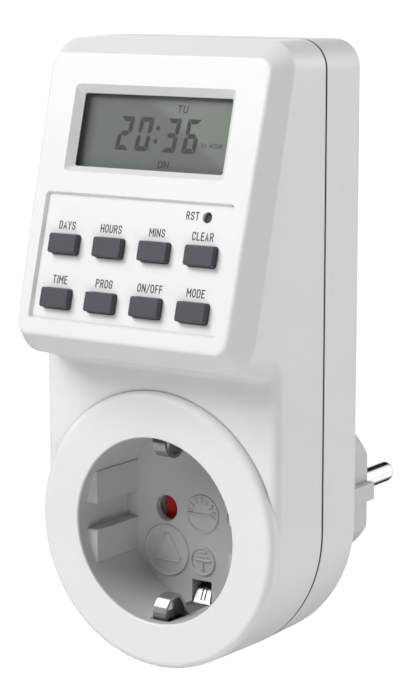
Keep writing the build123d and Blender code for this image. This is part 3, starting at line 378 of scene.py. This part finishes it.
def add_place(tree):
    """X, Y and Z outputs of the Object coordinates."""
    coordinates = tree.nodes.new("ShaderNodeTexCoord")
    place = tree.nodes.new("ShaderNodeSeparateXYZ")
    tree.links.new(coordinates.outputs["Object"], place.inputs["Vector"])
    return place.outputs


def add_math(tree, operation, *values):
    """Result of a Math node over its values, which are numbers or sockets."""
    node = tree.nodes.new("ShaderNodeMath")
    node.operation = operation
    for socket, value in zip(node.inputs, values):
        if isinstance(value, float):
            socket.default_value = value
        else:
            tree.links.new(value, socket)
    return node.outputs["Value"]


def add_noise(tree, scale, detail=3.0, stretch=(1, 1, 1)):
    """Noise over Object coordinates, with a Mapping node that stretches it along an axis."""
    coordinates = tree.nodes.new("ShaderNodeTexCoord")
    mapping = tree.nodes.new("ShaderNodeMapping")
    mapping.inputs["Scale"].default_value = stretch
    noise = tree.nodes.new("ShaderNodeTexNoise")
    noise.inputs["Scale"].default_value = scale
    noise.inputs["Detail"].default_value = detail
    tree.links.new(coordinates.outputs["Object"], mapping.inputs["Vector"])
    tree.links.new(mapping.outputs["Vector"], noise.inputs["Vector"])
    return noise.outputs["Fac"]


def add_ramp(tree, value, low, high, start=0.3, end=0.7):
    """Value mapped from start..end to low..high, clamped."""
    ramp = tree.nodes.new("ShaderNodeMapRange")
    ramp.inputs["From Min"].default_value = start
    ramp.inputs["From Max"].default_value = end
    ramp.inputs["To Min"].default_value = low
    ramp.inputs["To Max"].default_value = high
    tree.links.new(value, ramp.inputs["Value"])
    return ramp.outputs["Result"]


def tinted(colour, factor):
    """Colour times a factor, at most white, with an alpha of one."""
    return (*[min(1, part * factor) for part in colour], 1)


def add_mix(tree, factor, first, second):
    """Colour that goes from the first to the second one as factor goes from 0 to 1."""
    mix = tree.nodes.new("ShaderNodeMix")
    mix.data_type = "RGBA"
    mix.inputs["A"].default_value = first
    mix.inputs["B"].default_value = second
    tree.links.new(factor, mix.inputs["Factor"])
    return mix.outputs["Result"]


def add_shades(tree, value, colour, spread):
    """Colour that varies by spread on both sides of the given one."""
    return add_mix(tree, value, tinted(colour, 1 - spread), tinted(colour, 1 + spread))


def add_bump(tree, shader, height, distance):
    """Relief in the shading alone, distance deep from a height of 0 to one of 1."""
    bump = tree.nodes.new("ShaderNodeBump")
    bump.inputs["Distance"].default_value = distance
    tree.links.new(height, bump.inputs["Height"])
    tree.links.new(bump.outputs["Normal"], shader.inputs["Normal"])


def scale_shade(tree, shade, factor):
    """Colour times a factor that varies over the surface."""
    scale = tree.nodes.new("ShaderNodeVectorMath")
    scale.operation = "SCALE"
    tree.links.new(shade, scale.inputs[0])
    tree.links.new(factor, scale.inputs["Scale"])
    return scale.outputs["Vector"]


def add_gap_shade(tree, shade, reach, darkest):
    """Colour with painted shade, darker where surfaces within reach close the sky in."""
    # Painted shade: an ambient occlusion node darkens the colour in gaps and corners
    open_sky = tree.nodes.new("ShaderNodeAmbientOcclusion")
    open_sky.inputs["Distance"].default_value = reach
    open_sky.samples = 8
    painted_shade = add_ramp(tree, open_sky.outputs["AO"], low=darkest, high=1, start=0.35, end=0.8)
    return scale_shade(tree, shade, painted_shade)


def add_seam_shade(tree, shade, seam_y):
    """Colour with painted shade near the plane Y = seam_y, fully dark within SEAM_DARK of it."""
    away = add_math(tree, "ABSOLUTE", add_math(tree, "SUBTRACT", add_place(tree)["Y"], seam_y))
    # Painted shade along the seam
    painted_shade = add_ramp(tree, away, low=0.22, high=1, start=SEAM_DARK, end=SEAM_SHADE_END)
    return scale_shade(tree, shade, painted_shade)


def moulded(name, colour, roughness=0.42, grain=2600.0, depth=0.000012, spread=0.012, coat=0.0,
            gaps=0.0, line_at=None):
    """Moulded plastic: faint flow shading, spark-eroded grain and uneven gloss.

    gaps is how far painted shade reaches out of narrow gaps, and line_at is the Y of a seam
    that is lined with painted shade.
    """
    material, tree, shader = start_material(name)
    flow = add_ramp(tree, add_noise(tree, 42.0, 4.0), 0, 1)
    shade = add_shades(tree, flow, colour, spread)
    if gaps:
        shade = add_gap_shade(tree, shade, gaps, darkest=0.25)
    if line_at is not None:
        shade = add_seam_shade(tree, shade, line_at)
    tree.links.new(shade, shader.inputs["Base Color"])
    gloss = add_ramp(tree, add_noise(tree, 900.0, 2.0), roughness - 0.05, roughness + 0.05)
    tree.links.new(gloss, shader.inputs["Roughness"])
    add_bump(tree, shader, add_noise(tree, grain, 2.0), depth)
    shader.inputs["IOR"].default_value = 1.47
    shader.inputs["Coat Weight"].default_value = coat
    return material


def well_plastic(name, colour):
    """Dull plastic of the socket well, with a coarser and shallower grain."""
    return moulded(name, colour, roughness=0.48, grain=2200.0, depth=0.00001, spread=0.02)


def plated(name, colour, roughness, gaps=0.0):
    """Plated or drawn metal with fine drawing lines along Y.

    gaps is how far painted shade reaches out of its pockets.
    """
    material, tree, shader = start_material(name)
    lines = add_noise(tree, 5200.0, stretch=(1, 0.06, 1))
    shade = add_shades(tree, add_ramp(tree, lines, 0, 1), colour, 0.05)
    if gaps:
        shade = add_gap_shade(tree, shade, gaps, darkest=0.12)
    tree.links.new(shade, shader.inputs["Base Color"])
    gloss = add_ramp(tree, lines, roughness - 0.05, roughness + 0.08)
    tree.links.new(gloss, shader.inputs["Roughness"])
    add_bump(tree, shader, lines, 0.000004)
    shader.inputs["Metallic"].default_value = 1.0
    return material


def clear_window(name):
    """Clear hard-coated plastic: see-through, with an eighth of a dark glossy surface."""
    material, tree, shader = start_material(name)
    output = tree.nodes["Material Output"]
    smudge = add_ramp(tree, add_noise(tree, 160.0), 0.04, 0.1)
    tree.links.new(smudge, shader.inputs["Roughness"])
    tint = add_shades(tree, add_noise(tree, 60.0), (0.04, 0.045, 0.042), 0.05)
    tree.links.new(tint, shader.inputs["Base Color"])
    shader.inputs["IOR"].default_value = 1.3
    clear = tree.nodes.new("ShaderNodeBsdfTransparent")
    clear.inputs["Color"].default_value = (0.97, 0.98, 0.97, 1)
    mix = tree.nodes.new("ShaderNodeMixShader")
    mix.inputs["Fac"].default_value = 0.12
    tree.links.new(clear.outputs["BSDF"], mix.inputs[1])
    tree.links.new(shader.outputs["BSDF"], mix.inputs[2])
    tree.links.new(mix.outputs["Shader"], output.inputs["Surface"])
    return material


def display_glass(name, colour):
    """Liquid crystal cell: grey green, with painted shade at its top and left edges and a painted
    reflection to the right.

    The painted reflection starts along a soft slanting line. The painted shadow of the frame shows
    as a darker line along the top and as a band at the left that fades over CELL_FADE.
    """
    material, tree, shader = start_material(name)
    mottle = add_ramp(tree, add_noise(tree, 55.0, 2.0), 0, 1)
    glass = add_shades(tree, mottle, colour, 0.03)
    place = add_place(tree)
    slant = add_math(tree, "MULTIPLY_ADD", place["X"], CELL_SLANT, place["Z"])
    # Painted reflection right of the slanting line, and painted shadow of the frame at the left edge
    # and along the top
    for value, low, high, start, end in (
        (slant, 1.0, 1.42, CELL_LINE - 0.0013, CELL_LINE + 0.0009),
        (place["X"], 0.65, 1.0, CELL_LEFT, CELL_LEFT + CELL_FADE),
        (place["Z"], 1.0, 0.6, CELL_TOP - 0.0003, CELL_TOP),
    ):
        glass = scale_shade(tree, glass, add_ramp(tree, value, low, high, start, end))
    tree.links.new(glass, shader.inputs["Base Color"])
    gloss = add_ramp(tree, add_noise(tree, 700.0), 0.38, 0.5)
    tree.links.new(gloss, shader.inputs["Roughness"])
    return material


def printed_board(name, colour):
    """Solder mask over copper tracks that run in blocks, with a slight gloss."""
    material, tree, shader = start_material(name)
    coordinates = tree.nodes.new("ShaderNodeTexCoord")
    brick = tree.nodes.new("ShaderNodeTexBrick")
    brick.inputs["Scale"].default_value = 260.0
    brick.inputs["Mortar Size"].default_value = 0.012
    for part, factor in (("Color1", 1.25), ("Color2", 1.1), ("Mortar", 0.7)):
        brick.inputs[part].default_value = tinted(colour, factor)
    tree.links.new(coordinates.outputs["Object"], brick.inputs["Vector"])
    tree.links.new(brick.outputs["Color"], shader.inputs["Base Color"])
    add_bump(tree, shader, brick.outputs["Fac"], -0.00003)
    gloss = add_ramp(tree, add_noise(tree, 500.0), 0.25, 0.4)
    tree.links.new(gloss, shader.inputs["Roughness"])
    return material


def wound_wire(name, colour):
    """Enamelled wire wound round Z: fine rounded turns from a wave along Z."""
    material, tree, shader = start_material(name)
    coordinates = tree.nodes.new("ShaderNodeTexCoord")
    wave = tree.nodes.new("ShaderNodeTexWave")
    wave.bands_direction = "Z"
    wave.inputs["Scale"].default_value = 1400.0
    wave.inputs["Distortion"].default_value = 0.4
    tree.links.new(coordinates.outputs["Object"], wave.inputs["Vector"])
    shade = add_shades(tree, wave.outputs["Fac"], colour, 0.25)
    tree.links.new(shade, shader.inputs["Base Color"])
    add_bump(tree, shader, wave.outputs["Fac"], 0.00005)
    shader.inputs["Metallic"].default_value = 0.8
    shader.inputs["Roughness"].default_value = 0.3
    return material


def ink(name, colour, roughness=0.5):
    """Pad-printed ink with slightly uneven cover."""
    material, tree, shader = start_material(name)
    cover = add_ramp(tree, add_noise(tree, 1800.0, 2.0), 0, 1)
    tree.links.new(add_shades(tree, cover, colour, 0.15), shader.inputs["Base Color"])
    shader.inputs["Roughness"].default_value = roughness
    return material


def finish_nodes(names, material):
    """Gives frame nodes a finish. Their meshes stay as they are."""
    for name in names:
        slots = NODES[name].data.materials
        slots.clear()
        slots.append(material)


# ---------------------------------------------------------------- operators
class TIMER_OT_casing(bpy.types.Operator):
    """White covers and plug, grey well, red shutter and the insulating parts"""

    bl_idname = "timer.casing"
    bl_label = "Casing and well"

    def execute(self, context):
        colours = context.scene.timer_colours
        # The casing and plug get painted shade in narrow gaps, and the casing also along the seam
        # between the shells
        white = moulded("casing_white", colours.casing, gaps=0.0008, line_at=SEAM_Y)
        finish_nodes(("front_shell", "rear_shell", "lcd_holder"), white)
        finish_nodes(("plug_body",), moulded("plug_grey", colours.plug, gaps=0.0008))
        finish_nodes(("socket_insert", "shutter_cover"), well_plastic("well_grey", colours.well))
        red = moulded("shutter_red", colours.shutter, roughness=0.55)
        finish_nodes(("shutter_plate",), red)
        cream = moulded("insulation", (0.55, 0.53, 0.47), roughness=0.55, spread=0.03)
        finish_nodes(("contact_carrier", "board_link"), cream)
        return {"FINISHED"}


class TIMER_OT_keys(bpy.types.Operator):
    """Slate grey keys, the rubber mat under them and the reset key"""

    bl_idname = "timer.keys"
    bl_label = "Keys"

    def execute(self, context):
        rubber = moulded(
            "key_rubber", context.scene.timer_colours.keys,
            roughness=0.55, grain=3200.0, depth=0.000015, spread=0.03,
        )
        names = [name for name in NODES if name.startswith("key_")]
        finish_nodes([*names, "reset_key"], rubber)
        return {"FINISHED"}


class TIMER_OT_metal(bpy.types.Operator):
    """Plated pins and springs, screws, relay iron and copper parts"""

    bl_idname = "timer.metal"
    bl_label = "Metal parts"

    def execute(self, context):
        bright = plated("pin_plate", (0.8, 0.79, 0.77), roughness=0.12)
        finish_nodes(("live_pin", "neutral_pin"), bright)
        # Painted shade dulls the nickel in its pockets
        nickel = plated("nickel_plate", (0.44, 0.435, 0.425), roughness=0.38, gaps=0.003)
        finish_nodes(("plug_earth_clips", "socket_earth_strip", "cell_tabs"), nickel)
        steel = plated("screw_steel", (0.5, 0.5, 0.5), roughness=0.3)
        finish_nodes(
            ("case_screws", "display_board_screws", "main_board_screws", "shutter_spring",
             "relay_yoke", "relay_armature", "crystal", "backup_cell", "lcd_reflector"),
            steel,
        )
        copper = plated("contact_copper", (0.72, 0.42, 0.25), roughness=0.25)
        finish_nodes(
            ("live_socket_contact", "neutral_socket_contact", "live_in_strap",
             "live_out_strap", "neutral_strap", "relay_spring_contact", "relay_fixed_contact"),
            copper,
        )
        finish_nodes(("relay_coil",), wound_wire("coil_wire", (0.55, 0.22, 0.08)))
        return {"FINISHED"}


class TIMER_OT_boards(bpy.types.Operator):
    """Printed boards and what is soldered to them"""

    bl_idname = "timer.boards"
    bl_label = "Boards"

    def execute(self, context):
        green = printed_board("board", (0.02, 0.11, 0.04))
        finish_nodes(("display_board", "main_board"), green)
        black = moulded("component_black", (0.02, 0.02, 0.022), roughness=0.4)
        finish_nodes(
            ("reset_switch", "relay_base", "relay_bobbin", "electrolytic_capacitor",
             "rectifier_diodes", "controller_chip", "zebra_strips"),
            black,
        )
        blue = moulded("component_blue", (0.03, 0.08, 0.25), roughness=0.3, coat=0.4)
        finish_nodes(("relay_cover", "varistor"), blue)
        yellow = moulded("component_yellow", (0.6, 0.38, 0.06), roughness=0.35, coat=0.3)
        finish_nodes(("film_capacitor", "resistors"), yellow)
        return {"FINISHED"}


# Time on the panel: (u, v) of the colon's dots, the digits' middles and their lower edge
DOT_PLACES = ((0.00026, 0.0259), (0.00005, 0.0232))
DOT_RADIUS = 0.00048
DIGIT_MIDDLES = (-0.0079, -0.0030, 0.0038, 0.0088)
DIGIT_BOTTOM = 0.02104

# Step to the right for each step up
DIGIT_LEAN = 0.1

# Segments that are lit for each digit
LIT = {
    "0": "abcdef", "1": "bc", "2": "abged", "3": "abgcd", "4": "fgbc", "5": "afgcd",
    "6": "afgcde", "7": "abc", "8": "abcdefg", "9": "abcdfg",
}


def digit_segments(width, height, stroke, gap):
    """Outlines of the seven segments in a box that starts at the origin.

    The outer segments are strips of one stroke cut at 45 degrees at their ends, so that two
    of them meet along the corner's diagonal. The middle one is pointed at both ends. Every
    cut keeps half a gap of its own. The lower half is the upper half turned over.
    """
    half_gap, half_stroke, centre = gap / 2, stroke / 2, height / 2
    top = np.array([
        (half_gap, height), (width - half_gap, height),
        (width - stroke - half_gap, height - stroke), (stroke + half_gap, height - stroke),
    ])
    left = np.array([
        (0, height - half_gap), (stroke, height - stroke - half_gap),
        (stroke, centre + half_stroke + half_gap), (half_stroke, centre + half_gap),
        (0, centre + half_stroke + half_gap),
    ])
    middle = np.array([
        (half_stroke + half_gap, centre), (stroke + half_gap, centre + half_stroke),
        (width - stroke - half_gap, centre + half_stroke), (width - half_stroke - half_gap, centre),
        (width - stroke - half_gap, centre - half_stroke), (stroke + half_gap, centre - half_stroke),
    ])
    lower_left = left * (1, -1) + (0, height)
    return {
        "a": top, "b": left * (-1, 1) + (width, 0),
        "c": lower_left * (-1, 1) + (width, 0), "d": top * (1, -1) + (0, height),
        "e": lower_left, "f": left, "g": middle,
    }


def time_outlines(sizes):
    """Outlines of the lit segments and the colon's dots on the panel, for a time of four digits.

    Each digit leans: its points move right by DIGIT_LEAN times their height over its middle.
    """
    segments = digit_segments(
        sizes.digit_width, sizes.digit_height, sizes.stroke_width, sizes.segment_gap
    )
    outlines = [circle_path(dot, DOT_RADIUS, 16) for dot in DOT_PLACES]
    for sign, middle in zip(sizes.time_text.replace(":", ""), DIGIT_MIDDLES, strict=True):
        left = middle - sizes.digit_width / 2
        for name in LIT[sign]:
            outline = segments[name] + (left, DIGIT_BOTTOM)
            outline[:, 0] += (outline[:, 1] - DIGIT_BOTTOM - sizes.digit_height / 2) * DIGIT_LEAN
            outlines.append(outline)
    return outlines


class TIMER_OT_display(bpy.types.Operator):
    """Display cell, window, time digits and small legends"""

    bl_idname = "timer.display"
    bl_label = "Display"

    def execute(self, context):
        sizes, colours = context.scene.timer_sizes, context.scene.timer_colours
        finish_nodes(("lcd_window",), clear_window("window_clear"))
        finish_nodes(("lcd_cell",), display_glass("display_cell", colours.display))
        lit = ink("display_segment", colours.segment, 0.4)

        start, points, polygons = 0, [], []
        for outline in time_outlines(sizes):
            points.append(on_panel(outline[:, 0], outline[:, 1], CELL_INK))
            polygons.append(list(range(start, start + len(outline))))
            start += len(outline)
        digits = add_object("time_digits", np.concatenate(points), polygons, lit, smooth=False)
        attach(digits, CASING)

        # Each text with the u and v of its middle and the height of its capitals
        words = (("TU", 0.0057, 0.03004, 0.0016), ("ON", 0.00285, 0.0185, 0.0016),
                 ("24 HOUR", 0.0139, 0.02284, 0.0009))
        lettering("display_legends", words, lit, CELL_INK, width=0.6, stroke=0.15, gap=0.16)
        return {"FINISHED"}


# Rows of captions on the panel: v of the row, then each word with the u of its middle
CAPTION_ROWS = (
    (0.00433, (("DAYS", -0.01739), ("HOURS", -0.0061), ("MINS", 0.00543), ("CLEAR", 0.01656))),
    (-0.00702, (("TIME", -0.01721), ("PROG", -0.00584), ("ON/OFF", 0.00566), ("MODE", 0.01686))),
    (0.00832, (("RST", 0.0134),)),
)


class TIMER_OT_captions(bpy.types.Operator):
    """Printed captions above the keys and beside the reset key"""

    bl_idname = "timer.captions"
    bl_label = "Captions"

    def execute(self, context):
        sizes, colours = context.scene.timer_sizes, context.scene.timer_colours
        height = sizes.caption_height
        words = [(text, u, v, height) for v, row in CAPTION_ROWS for text, u in row]
        lettering(
            "key_captions", words, ink("caption_ink", colours.ink),
            POCKET_FLOOR + sizes.ink_thickness,
            sizes.letter_width, sizes.letter_stroke, sizes.letter_gap,
        )
        return {"FINISHED"}


class TIMER_OT_relief(bpy.types.Operator):
    """Raised marks on the floor of the well: an earth sign, a dial and a plain triangle"""

    bl_idname = "timer.relief"
    bl_label = "Marks in the well"

    def execute(self, context):
        sizes, colours = context.scene.timer_sizes, context.scene.timer_colours
        width, height = sizes.relief_width, sizes.relief_height

        def ring(centre, radius):
            return bead(circle_path(centre, radius), on_well_floor, width, height, closed=True)

        def line(start, end):
            return bead(np.linspace(start, end, 8), on_well_floor, width, height)

        earth_u, earth_v, bar_step = 0.0003, -0.0105, 0.0009
        tick_start, tick_end, tick_edge = 0.0026, 0.0034, 0.15
        triangle_u, triangle_v, corner_reach, corner_gap = -0.0092, -0.0094, 0.0045, 0.12

        # Rings of the dial, the earth sign and the triangle, the dial's hands, the earth's stem
        parts = [
            ring((0.0002, 0), 0.00405),
            ring((earth_u, earth_v), 0.003),
            ring((triangle_u, triangle_v), 0.00555),
            line((-0.0036, -0.0002), (0.0014, -0.0002)),
            line((0.0018, -0.0001), (0.0038, -0.0009)),
            line((earth_u, earth_v + 0.0001), (earth_u, earth_v - 0.0022)),
        ]
        for step, half in enumerate((0.0019, 0.0013, 0.0007)):
            v = earth_v + 0.0002 + bar_step * step
            parts.append(line((earth_u - half, v), (earth_u + half, v)))
        for turn in np.linspace(tick_edge, np.pi - tick_edge, 7):
            ray = np.array([np.cos(turn), np.sin(turn)])
            parts.append(line(tick_start * ray, tick_end * ray))
        turn = np.radians([90, 210, 330])
        corners = corner_reach * np.stack([np.cos(turn), np.sin(turn)], 1)
        corners += (triangle_u, triangle_v)
        for start, end in zip(corners, np.roll(corners, -1, 0)):
            inset = (end - start) * corner_gap
            parts.append(line(start + inset, end - inset))
        points, faces = join_grids(parts)
        grey = well_plastic("well_mark_grey", colours.well)
        marks = add_object("well_marks", points, faces, grey)
        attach(marks, CASING)
        return {"FINISHED"}


def backdrop_paper():
    """Matt near-white paper that the camera sees as plain white.

    In what bright metal mirrors from behind Y = 0.45 it glows white as a painted reflection, apart
    from a painted dark band about X = BAND_X, which gives round pins their outline.
    """
    material, tree, shader = start_material("backdrop_paper")
    shader.inputs["Roughness"].default_value = 0.9
    rays = tree.nodes.new("ShaderNodeLightPath").outputs
    place = add_place(tree)
    # Painted reflection: a white glow and a dark band that only glossy rays see
    behind = add_ramp(tree, place["Y"], low=0, high=1, start=0.3, end=0.6)
    mirrored = add_math(tree, "MULTIPLY", rays["Is Glossy Ray"], behind)
    away = add_math(tree, "ABSOLUTE", add_math(tree, "SUBTRACT", place["X"], BAND_X))
    outside = add_ramp(tree, away, low=0, high=1, start=0.6, end=1.1)
    sides = add_math(tree, "MULTIPLY", mirrored, outside)
    band = add_math(tree, "SUBTRACT", mirrored, sides)
    paper = add_mix(tree, band, (0.82, 0.82, 0.82, 1), (0.05, 0.05, 0.05, 1))
    tree.links.new(paper, shader.inputs["Base Color"])
    seen = add_math(tree, "MAXIMUM", sides, rays["Is Camera Ray"])
    seen = add_math(tree, "MAXIMUM", seen, rays["Is Transmission Ray"])
    shader.inputs["Emission Color"].default_value = (1, 1, 1, 1)
    tree.links.new(seen, shader.inputs["Emission Strength"])
    return material


def backdrop_sheet():
    """Points and faces of the floor, which turns up along a quarter circle into a wall."""
    floor_z, wall_top, front_y, wall_y = -0.6, 4.0, -4.0, 2.5
    bend, half = 0.8, 6.0
    turn = np.linspace(0, np.pi / 2, 16)
    y = np.concatenate([[front_y, 0.0], wall_y - bend + bend * np.sin(turn), [wall_y]])
    z = np.concatenate([[floor_z] * 2, floor_z + bend - bend * np.cos(turn), [wall_top]])
    x = np.linspace(-half, half, 5)
    sheet = np.stack(np.broadcast_arrays(x[None, :], y[:, None], z[:, None]), -1)
    return join_grids([(sheet, False)])


def studio_world(ambient):
    """Even white light of a given strength, which the camera sees as plain white."""
    world = bpy.data.worlds.new("studio_world")
    world.use_nodes = True
    tree = world.node_tree
    background = tree.nodes["Background"]
    background.inputs["Color"].default_value = (1, 1, 1, 1)
    rays = tree.nodes.new("ShaderNodeLightPath").outputs
    mix = tree.nodes.new("ShaderNodeMix")
    mix.inputs["A"].default_value = ambient
    mix.inputs["B"].default_value = 1.0
    tree.links.new(rays["Is Camera Ray"], mix.inputs["Factor"])
    tree.links.new(mix.outputs["Result"], background.inputs["Strength"])
    return world


def soft_light(name, place, power):
    """Square lamp that points at the middle of the timer."""
    lamp = bpy.data.lights.new(name, "AREA")
    lamp.shape = "SQUARE"
    lamp.size = LAMP_SIZE
    lamp.energy = power
    light = bpy.data.objects.new(name, lamp)
    light.location = place
    aim = Vector(LAMP_TARGET) - Vector(place)
    light.rotation_euler = aim.to_track_quat("-Z", "Y").to_euler()
    bpy.context.scene.collection.objects.link(light)


def studio_camera():
    """Camera half a metre off, to the right of the front and a little above."""
    azimuth, elevation = np.radians(34.449), np.radians(10.100)
    back = Vector((
        np.sin(azimuth) * np.cos(elevation), -np.cos(azimuth) * np.cos(elevation),
        np.sin(elevation),
    ))
    lens = bpy.data.cameras.new("camera")
    lens.sensor_width = 36.0
    lens.lens = 112.545
    lens.clip_start, lens.clip_end = 0.01, 20.0
    camera = bpy.data.objects.new("camera", lens)
    camera.location = (0.26073, -0.42351, 0.11935)
    camera.rotation_euler = (-back).to_track_quat("-Z", "Y").to_euler()
    bpy.context.scene.collection.objects.link(camera)
    return camera


class TIMER_OT_stage(bpy.types.Operator):
    """Pale floor with a curved backdrop, soft lights and the camera"""

    bl_idname = "timer.stage"
    bl_label = "Studio"

    def execute(self, context):
        scene, studio = context.scene, context.scene.timer_studio
        material = backdrop_paper()
        points, faces = backdrop_sheet()
        add_object("backdrop", points, faces, material)
        scene.world = studio_world(studio.ambient)
        soft_light("key_light", (-0.6, -0.8, 0.95), studio.key)
        soft_light("fill_light", (0.5, -1.1, 0.7), studio.fill)
        soft_light("back_light", (1.0, 0.9, 0.6), studio.back)
        soft_light("table_light", (0.0, -1.1, -0.7), studio.table)
        soft_light("corner_light", (0.9, -0.9, -0.5), studio.corner)
        scene.camera = studio_camera()
        scene.view_settings.view_transform = "Standard"
        return {"FINISHED"}


class TIMER_PT_panel(bpy.types.Panel):
    """Sizes, colours and steps of the timer"""

    bl_idname = "TIMER_PT_panel"
    bl_label = "Plug-in timer"
    bl_space_type = "VIEW_3D"
    bl_region_type = "UI"
    bl_category = "Timer"

    def draw(self, context):
        scene = context.scene
        for group in (scene.timer_sizes, scene.timer_colours, scene.timer_studio):
            for name in group.__annotations__:
                self.layout.prop(group, name)
        for step in STEPS:
            self.layout.operator(step.bl_idname)


STEPS = (
    TIMER_OT_stage, TIMER_OT_casing, TIMER_OT_keys, TIMER_OT_metal, TIMER_OT_boards,
    TIMER_OT_display, TIMER_OT_captions, TIMER_OT_relief,
)
CLASSES = (TimerSizes, TimerColours, StudioSettings, *STEPS, TIMER_PT_panel)


def register():
    for cls in CLASSES:
        bpy.utils.register_class(cls)
    bpy.types.Scene.timer_sizes = PointerProperty(type=TimerSizes)
    bpy.types.Scene.timer_colours = PointerProperty(type=TimerColours)
    bpy.types.Scene.timer_studio = PointerProperty(type=StudioSettings)


def unregister():
    del bpy.types.Scene.timer_studio
    del bpy.types.Scene.timer_colours
    del bpy.types.Scene.timer_sizes
    for cls in reversed(CLASSES):
        bpy.utils.unregister_class(cls)


def main():
    register()
    for step in STEPS:
        group, name = step.bl_idname.split(".")
        getattr(getattr(bpy.ops, group), name)()


if __name__ == "__main__":
    main()
